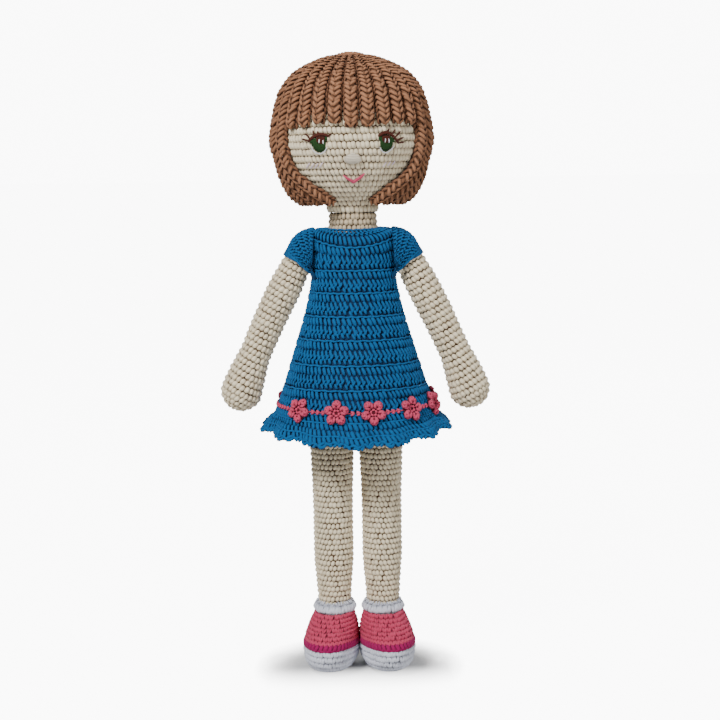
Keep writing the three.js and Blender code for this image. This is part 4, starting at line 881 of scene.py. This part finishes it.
# Embroidery is placed on the head by where it shows from the camera
GRID = 300
GRID_U, GRID_V = np.meshgrid(np.linspace(-1.25, 1.25, GRID),
                             np.linspace(head.row_at(400), head.row_at(318), GRID))
GRID_PIXELS = project(head(GRID_U, GRID_V))
EYES = {
    "right": {
        "top": [(311.2, 140.6), (315.5, 137.6), (320.5, 136.0), (327.2, 136.6)],
        "bottom": [(311.6, 142.4), (314.6, 148.6), (319.8, 152.0), (325.0, 149.6), (327.0, 138.6)],
        "pupil": ((317.6, 325.4), (136.2, 144.6)),
        "glints": [((320.6, 139.2), (320.2, 143.0)), ((324.0, 140.0), (324.4, 143.8))],
        "under": [(311.6, 144.8), (314.4, 150.4), (320.0, 153.3), (325.2, 150.8), (327.4, 146.8)],
        "lash": [(309.6, 141.8), (313.4, 138.0), (319.2, 135.2), (325.0, 134.9), (329.6, 136.6)],
        "flicks": [((310.2, 141.0), (302.8, 138.8)), ((312.0, 139.4), (306.0, 133.6)),
                   ((315.2, 137.0), (313.6, 130.6)), ((318.4, 135.8), (318.4, 131.4)),
                   ((328.6, 136.4), (331.4, 134.0))],
    },
    "left": {
        "top": [(378.6, 136.4), (385.0, 134.6), (390.2, 136.6), (392.8, 139.6)],
        "bottom": [(378.8, 138.2), (380.6, 147.4), (384.6, 151.0), (390.0, 147.8), (392.6, 141.2)],
        "pupil": ((381.4, 388.6), (135.6, 143.6)),
        "glints": [((384.2, 138.4), (384.0, 142.2)), ((387.4, 138.8), (387.8, 142.6))],
        "under": [(379.2, 146.6), (381.8, 150.8), (385.4, 152.0), (390.4, 149.0), (393.0, 145.4)],
        "lash": [(377.6, 136.6), (382.0, 133.8), (387.0, 133.4), (392.0, 136.4), (397.6, 143.2)],
        "flicks": [((386.0, 133.6), (388.4, 128.8)), ((390.4, 135.2), (394.6, 129.6)),
                   ((393.6, 137.8), (399.8, 131.4)), ((395.6, 140.4), (402.8, 137.2)),
                   ((397.0, 142.6), (403.4, 141.8))],
    },
}
NOSE_X, NOSE_HALF_WIDTH, NOSE_ROWS = 352.8, 8.2, (153.4, 162.4, 8)
MOUTH = [([(343.4, 174.6), (355.0, 181.0)], 0.72, 1.15), ([(345.6, 176.6), (354.2, 182.2)], 0.72, 1.05),
         ([(364.6, 172.6), (352.2, 181.2)], 0.76, 1.3), ([(362.6, 175.4), (352.6, 182.4)], 0.7, 1.15)]
CHEEKS = [(308.6, 165.4), (312.8, 165.8), (317.0, 165.6), (321.2, 165.0)]
FAR_CHEEKS = [(383.6, 164.2), (388.0, 163.6), (392.4, 162.6)]


def on_head(pixels):
    """The (u, v) of the head under each pixel."""
    found = []
    for pixel in pixels:
        nearest = np.argmin(np.sum((GRID_PIXELS - pixel) ** 2, axis=-1))
        i, j = np.clip(np.unravel_index(nearest, GRID_U.shape), 1, GRID - 2)
        across = (GRID_PIXELS[i, j + 1] - GRID_PIXELS[i, j - 1]) / 2
        down = (GRID_PIXELS[i + 1, j] - GRID_PIXELS[i - 1, j]) / 2
        step = np.linalg.solve(np.stack([across, down], 1), pixel - GRID_PIXELS[i, j])
        found.append((GRID_U[i, j] + step[0] * (GRID_U[0, 1] - GRID_U[0, 0]),
                      GRID_V[i, j] + step[1] * (GRID_V[1, 0] - GRID_V[0, 0])))
    return np.transpose(found)


def stroke(pile, pixels, radius, lift, count=8, taper=0.6, tone=1.0):
    """A thread over the face along a few pixels."""
    pixels = np.array(pixels, float)
    u, v = on_head(smooth(pixels, count) if len(pixels) > 2 else np.linspace(*pixels, count))
    t = np.linspace(-1, 1, count)
    size = radius * (taper + (1 - taper) * np.sqrt(np.maximum(0, 1 - t**4)))
    lay(pile, head, u, v, lift - 0.35 * t**6, size, tone=tone)


def embroider(name, material, threads, nodes=()):
    pile = Pile()
    for thread in threads:
        stroke(pile, *thread)
    piece_on(pile, name, material, "head", nodes)


def make_eye(word, top, bottom, pupil, glints, under, lash, flicks):
    """Threads: pixels, radius, lift, number of points and taper."""
    upper, lower = smooth(top, 60), smooth(bottom, 90)
    lower = lower[np.argsort(lower[:, 0])]
    threads = []
    for x in np.linspace(top[0][0] + 0.5, top[-1][0] - 0.5, 11):
        high, low = np.interp(x, *upper.T), np.interp(x, *lower.T)
        threads.append(([(x, high), (x, (high + low) / 2), (x, low)], 0.72, 1.15, 6))
    embroider(f"iris_{word}", GREEN, threads, [f"eye_{word}"])
    (x0, x1), (y0, y1) = pupil
    threads = []
    for n, x in enumerate(np.linspace(x0 + 0.6, x1 - 0.6, 6)):
        bow = 1 - 0.35 * (2 * n / 5 - 1) ** 2
        threads.append(([(x, y0), (x, (y0 + y1) / 2), (x, y0 + (y1 - y0) * bow)], 0.62, 1.55, 6))
    threads += [(lash, 0.95, 1.6, 14), ([(x, y - 1.0) for x, y in lash[:-1]], 0.7, 1.5, 12)]
    threads += [(flick, 0.55, 1.3, 6, 0.45) for flick in flicks]
    embroider(f"lashes_{word}", BROWN, threads)
    glints = [(glint, 0.4, 2.1, 5) for glint in glints]
    embroider(f"eye_light_{word}", BRIGHT, [(under, 0.38, 1.15, 12)] + glints)


def make_face():
    for word, eye in EYES.items():
        make_eye(word, **eye)
    nose = []
    for n, y in enumerate(np.linspace(*NOSE_ROWS)):
        t = (2 * n / (NOSE_ROWS[-1] - 1) - 1) * 0.93
        full = 1 - t * t
        half = NOSE_HALF_WIDTH * math.sqrt(full)
        line = [(NOSE_X - half, y + 0.4), (NOSE_X, y - 0.2), (NOSE_X + half, y + 0.2)]
        # The lower, wider strands are marked darker: painted shade under the upper ones
        nose += [(line, 0.62, 1.1 + 1.4 * full, 10), (line, 1.0, 0.3 + 1.2 * full, 10, 0.6, 0.6)]
    embroider("nose_satin", NOSE, nose, ["nose"])
    embroider("mouth_satin", LIP, MOUTH, ["mouth"])
    cheeks = [([(x - 1.4, y + 2.2), (x + 1.9, y - 3.0)], 0.52, 1.2, 6) for x, y in CHEEKS]
    cheeks += [([(x - 1.6, y + 2.0), (x + 1.9, y - 2.6)], 0.45, 1.15, 6) for x, y in FAR_CHEEKS]
    embroider("cheek_threads", BLUSH, cheeks)


make_face()

# Shoes, turned out a little. Rows hold z, then shares of the half-width, toe reach and heel reach
SHOE_ROWS = [
    (38.8, 0.705, 0.37, 0.87), (36.4, 0.74, 0.47, 0.9), (32.4, 0.83, 0.67, 0.93), (27.6, 0.93, 0.86, 0.955),
    (22.8, 0.98, 0.968, 0.98), (20.6, 0.99, 0.985, 0.99), (18.5, 1, 1, 1), (11.1, 0.97, 0.96, 1),
    (7.4, 0.91, 0.87, 0.98), (4.6, 0.83, 0.74, 0.94), (2.6, 0.73, 0.6, 0.88), (1.4, 0.63, 0.5, 0.82),
    (1.2, 0.54, 0.43, 0.75), (1.5, 0.42, 0.34, 0.6), (1.7, 0.24, 0.2, 0.36), (1.8, 0.06, 0.05, 0.1),
]
SHOE_HALF_WIDTH, TOE_REACH, HEEL_REACH = 18.4, 42, 15.5
SHOE_OFFSET, TOE_OUT, TOE_SQUARENESS = 1.8, math.radians(6), 2.25
SHOE_LEVELS = (38.8, 22.6, 18.7, 1.8)
UNDERSIDE_Z = 2
TOE_RISE, HEEL_DROP = 4.6, 2.6
BAND_START, BAND_END = (3, 16), (25, 36)
RINGS, PLACES = 24, 720
CUFF_ROWS = [(42.5, 10.7), (45.2, 11.2), (46.2, 12.1), (44.8, 13.1), (41.6, 13.5), (39.0, 13.3), (37.6, 12.4)]


class Shoe:
    """Rings from the ankle down to the floor and in under the foot. u is 0 at the toe, and v is measured
    down the front."""

    def __init__(self, side):
        self.side = side
        self.table = smooth(SHOE_ROWS)
        z, width, toe = self.table.T[:3]
        self.at = run_length(np.stack([0.5 * (width * SHOE_HALF_WIDTH + toe * TOE_REACH), z], 1))
        self.length = self.at[-1]
        around = np.linspace(-math.pi, math.pi, PLACES + 1)
        u, v = np.meshgrid(around, np.linspace(0, self.length, RINGS))
        self.even = u
        run = run_length(self(u, v))
        self.even = np.stack([np.interp(around, row / row[-1] * TURN - math.pi, around) for row in run])

    def spread(self, u, v):
        """Where u lies on each ring, so that equal steps of u are equally long."""
        place = (u + math.pi) % TURN / TURN * PLACES
        level = np.clip(v / self.length, 0, 1) * (RINGS - 1)
        i, j = np.clip(place.astype(int), 0, PLACES - 1), np.clip(level.astype(int), 0, RINGS - 2)
        f, g, even = place - i, level - j, self.even
        upper = even[j, i] * (1 - f) + even[j, i + 1] * f
        lower = even[j + 1, i] * (1 - f) + even[j + 1, i + 1] * f
        return upper * (1 - g) + lower * g

    def row_at(self, z):
        return float(self.at[np.argmax(self.table[:, 0] <= z)]) if z > UNDERSIDE_Z else self.length

    def __call__(self, u, v):
        u = self.spread(*np.broadcast_arrays(u, v))
        z, width, toe, heel = (np.interp(v, self.at, column) for column in self.table.T)
        forward, sideways = np.cos(u), np.sin(u)
        power = np.where(forward > 0, 2 / TOE_SQUARENESS, 1.0)
        reach = np.where(forward > 0, toe * TOE_REACH, heel * HEEL_REACH)
        x = width * SHOE_HALF_WIDTH * np.sign(sideways) * np.abs(sideways) ** power
        x = x + SHOE_OFFSET * (1 - np.clip((z - 22.8) / 16, 0, 1))
        y = -reach * np.sign(forward) * np.abs(forward) ** power
        band = smoothstep(z, *BAND_START) * (1 - smoothstep(z, *BAND_END))
        turned_up = (TOE_RISE * smoothstep(-y, -4, TOE_REACH) - HEEL_DROP) * band
        c, s = math.cos(TOE_OUT), math.sin(TOE_OUT)
        return np.stack([self.side * (x * c - y * s + HIP_X), x * s + y * c, z + turned_up], -1)


def make_shoe(side, word):
    surface, leg, pile = Shoe(side), f"leg_{word}", Pile()
    top, edge, stripe, sole = (surface.row_at(z) for z in SHOE_LEVELS)
    backing(pile, surface, top, edge, 0.4, columns=72, tone=0.6)
    rows = row_edges(top + 0.3, edge - 2.6, 3.5)
    stitches(pile, surface, rows, 3.2, single(0.94, -0.5), skew=0.15, jitter=0.18)
    stitches(pile, surface, (edge - 2.8, edge - 0.2), 3.0, tips(1.05), pitch=3.0)
    piece_on(pile, f"shoe_upper_crochet_{word}", PINK, leg, [f"shoe_upper_{word}"])
    pile = Pile()
    backing(pile, surface, edge, stripe, 0.5, tone=0.5)
    stitches(pile, surface, (edge - 0.9, stripe + 0.1), 3.1, slants(1.55), pitch=4.0)
    rope(pile, surface, stripe - 0.6, 0.95, lift=0.25)
    piece_on(pile, f"shoe_stripe_crochet_{word}", MAGENTA, leg, [f"shoe_stripe_{word}"])
    pile = Pile()
    backing(pile, surface, stripe, sole, 0.8, tone=0.5)
    rows = row_edges(stripe + 0.3, sole - 0.4, 3.9)
    stitches(pile, surface, rows, 3.5, single(1.2, -0.9), skew=0.2, jitter=0.14)
    piece_on(pile, f"shoe_sole_crochet_{word}", WHITE, leg, [f"shoe_sole_{word}"])
    cuff, pile = Round([(z, r, r) for z, r in CUFF_ROWS], side, 0, (HIP_X, 0, 0)), Pile()
    backing(pile, cuff, 0, cuff.length, 0.7, step=1.2, tone=0.6)
    rows = np.linspace(0.3, cuff.length, 3)
    stitches(pile, cuff, rows, 4.2, single(1.5, -1.2), skew=0.3, jitter=0.12, pitch=5.5)
    piece_on(pile, f"sock_cuff_crochet_{word}", WHITE, leg, [f"sock_cuff_{word}"])


for side, word in SIDES:
    make_shoe(side, word)

# Flowers and the knotted line between them. Turns and spins are in degrees
FRONT_TURNS, BACK_FLOWERS, LAST_TURN = [-44, -13.5, 12.5, 43, 73], 6, 245
FLOWER_STEP = (LAST_TURN - FRONT_TURNS[-1]) / BACK_FLOWERS
FLOWER_TURNS = FRONT_TURNS + [FRONT_TURNS[-1] + FLOWER_STEP * (n + 1) for n in range(BACK_FLOWERS)]
FLOWER_SPINS = [28, 0, 36, 14, 50, 5, 30, 12, 44, 20, 60]
FLOWER_Z = 185.0
FLOWER_V = dress.row_at(FLOWER_Z)
PETALS, PETAL_OUT = 5, 5.3
PETAL_LENGTH, PETAL_WIDTH = 2.25, 1.95
PETAL_RADII = 1.3 * np.array([0.6, 0.9, 1, 1, 1.06, 1.06, 1, 1, 0.9, 0.6])
PETAL_PAINTED_SHADE = np.array([0.5, 0.9, 1, 0.95, 0.9, 0.9, 0.95, 1, 0.9, 0.5])
STRAND_RISE = np.array([0.5, 1.7, 2.5, 2.0, -0.2])
RING_OUT, RING_RISE = 1.9, np.array([-0.2, 0.6, 0.8, 0.6, -0.2])
DISC_ROWS = ((8.0, -0.6), (6.5, 0.4), (0.05, 0.4))
KNOTS, FLOWER_CLEARANCE = 84, 8.6


def turned(angle, first, second):
    """The direction at an angle from the first towards the second."""
    return np.cos(angle)[..., None] * first + np.sin(angle)[..., None] * second


def make_flower(n, turn, spin):
    """Each petal is a loop of yarn round three short strands. A ring of yarn closes the middle."""
    point, normal = frame_at(dress, math.radians(turn), FLOWER_V)
    up = unit(np.array([0, 0, 1.0]) - normal * normal[2])
    across = np.cross(up, normal)
    base = point + normal * 2.0
    pile = Pile()
    loop = np.linspace(-0.94, 0.94, 10) * math.pi
    rise = 1.5 - 1.2 * np.cos(loop / 2) ** 6 + 0.25 * np.cos(3 * loop)
    for k in range(PETALS):
        angle = math.radians(spin) + TURN * k / PETALS
        out, beside = turned(angle, up, across), turned(angle, across, -up)
        middle = base + PETAL_OUT * out
        size = 1 + RANDOM.uniform(-0.06, 0.06)
        path = middle + size * turned(loop, PETAL_LENGTH * out, PETAL_WIDTH * beside)
        # Painted shade darkens the ends of the loops and strands, where they tuck in
        pile.tubes((path + rise[:, None] * normal)[None], normal, PETAL_RADII, tone=PETAL_PAINTED_SHADE)
        for place in (-1.05, 0, 1.05):
            t = np.linspace(-0.1, 1, 5) * (3.0 - 0.3 * abs(place))
            path = middle + t[:, None] * turned(place, out, beside)
            path = (path + STRAND_RISE[:, None] * normal)[None]
            pile.tubes(path, normal, (0.8, 1.0, 1.05, 0.95, 0.6), tone=(0.5, 0.75, 1, 0.9, 0.4))
    for k in range(PETALS):
        angle = math.radians(spin + 36) + TURN * k / PETALS + np.linspace(-0.5, 0.5, 5)
        path = base + RING_OUT * turned(angle, up, across) + RING_RISE[:, None] * normal
        pile.tubes(path[None], normal, (0.6, 0.9, 1.0, 0.9, 0.6))
    around = np.linspace(0, TURN, 25)[:-1]
    wave = 1 - 0.22 * np.abs(np.sin(PETALS / 2 * (around - math.radians(spin))))
    disc = np.stack([r * turned(around, up, across) + normal * h for r, h in DISC_ROWS])
    disc[:2] *= wave[:, None]
    # A disc in full painted shade under the middle, seen between the ring and the petals
    pile.sheet(base + disc)
    bend_with_leg(pile.make(f"flower_crochet_{n + 1}", ROSE), [f"flower_{n + 1}"], [point])


def make_flower_line(side, word):
    """Knots of two short strands, on a thread that runs behind the flowers."""
    pile, centres = Pile(), []
    t = np.linspace(-1, 1, 5)
    lift, radius = 1.5 - 0.5 * t**2, 0.85 * (1 - 0.3 * t**2)
    for k in range(KNOTS):
        degrees = (k + 0.5) * 360 / KNOTS
        degrees = degrees - 360 if degrees > 180 else degrees
        away = min(abs((degrees - turn + 180) % 360 - 180) for turn in FLOWER_TURNS)
        if degrees * side < 0 or away < FLOWER_CLEARANCE:
            continue
        u = math.radians(degrees)
        centres.append(dress(u, FLOWER_V))
        for low, lean in ((-0.55, 0.022), (0.75, -0.0176)):
            lay(pile, dress, u + lean * t, FLOWER_V + low + 0.5 * t, lift, radius)
    knots = pile.make(f"flower_knots_{word}", ROSE)
    bend_with_leg(knots, ["flower_chain"] if side > 0 else [], centres)
    pile = Pile()
    lay(pile, dress, side * np.linspace(0.01, math.pi - 0.01, 120), FLOWER_V, 0.9, 0.45)
    bend_with_leg(pile.make(f"flower_thread_{word}", ROSE))


for number, (turn, spin) in enumerate(zip(FLOWER_TURNS, FLOWER_SPINS)):
    make_flower(number, turn, spin)
for side, word in SIDES:
    make_flower_line(side, word)

# The parts inside keep their solids and get materials of their own
INNER = {"stuffing": FIBRE, "neck_dowel": WOOD, "shoulder_tie": THREAD, "arm_button": BUTTON}
for name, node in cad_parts.items():
    for part, material in INNER.items():
        if part in name:
            for entry in node.material_slots:
                entry.material = material

# Studio: the lights light the doll, and the camera sees a white room round it
WHITE_ROOM, PLAIN_ROOM, WHITE_FLOOR, SHADED_FLOOR = 10.0, 0.18, 9.5, 0.02
SHADE_REACH, SHADE_FALL = 38, 14.0
SHADE_FRONT, SHADE_BACK, FRONT_SHADE = -66, -8, 0.05
FLOOR_HALF_SIZE = 30
LIT_POINT = np.array([0, 0, 220])
LIGHTS = (("key", (-660, -1050, 1350), 400, 29), ("right", (1000, -900, 800), 500, 6),
          ("rim", (300, 1200, 1300), 1000, 8))


def bright_to_camera(tree, plain, bright):
    """A strength that is bright for the camera, while the doll is lit by the plain one."""
    seen = add_node(tree, "LightPath", {}, "Is Camera Ray")
    return add_node(tree, "MapRange", {"Value": seen, "To Min": plain, "To Max": bright})


def shade_near(tree):
    """A painted shadow: the floor goes dark where something stands close over it, though hardly in front of
    the toes.
    """
    open_air = add_node(tree, "AmbientOcclusion", {"Distance": SHADE_REACH * MM}, "AO", samples=16)
    fall = calculate(tree, "POWER", open_air, SHADE_FALL)
    grade = add_node(tree, "MapRange", {"Value": fall, "To Min": SHADED_FLOOR, "To Max": WHITE_FLOOR})
    where = add_node(tree, "TexCoord", {}, "Object")
    behind = add_node(tree, "MapRange", {
        "Value": add_node(tree, "SeparateXYZ", {0: where}, "Y"), "From Min": SHADE_FRONT * MM,
        "From Max": SHADE_BACK * MM, "To Min": FRONT_SHADE, "To Max": 1.0,
    }, interpolation_type="SMOOTHSTEP")
    return add_node(tree, "Mix", {0: behind, 2: WHITE_FLOOR, 3: grade})


def make_studio():
    world = bpy.data.worlds.new("studio")
    world.use_nodes = True
    strength = bright_to_camera(world.node_tree, PLAIN_ROOM, WHITE_ROOM)
    put(world.node_tree, world.node_tree.nodes["Background"], {"Color": (1, 1, 1, 1), "Strength": strength})
    bpy.context.scene.world = world
    material, tree, shader = start_material("floor", {
        "Base Color": (0.7, 0.7, 0.7, 1), "Roughness": 0.9, "Emission Color": (1, 1, 1, 1),
    })
    put(tree, shader, {"Emission Strength": bright_to_camera(tree, 0.0, shade_near(tree))})
    mesh = bpy.data.meshes.new("floor")
    corners = [(x * FLOOR_HALF_SIZE, y * FLOOR_HALF_SIZE, 0) for x, y in ((-1, -1), (1, -1), (1, 1), (-1, 1))]
    mesh.from_pydata(corners, [], [(0, 1, 2, 3)])
    mesh.materials.append(material)
    add_object("floor", mesh)
    for name, place, size, power in LIGHTS:
        data = bpy.data.lights.new(name, "AREA")
        data.size, data.energy = size * MM, power
        stand(add_object(name, data), np.array(place), LIT_POINT)


make_studio()
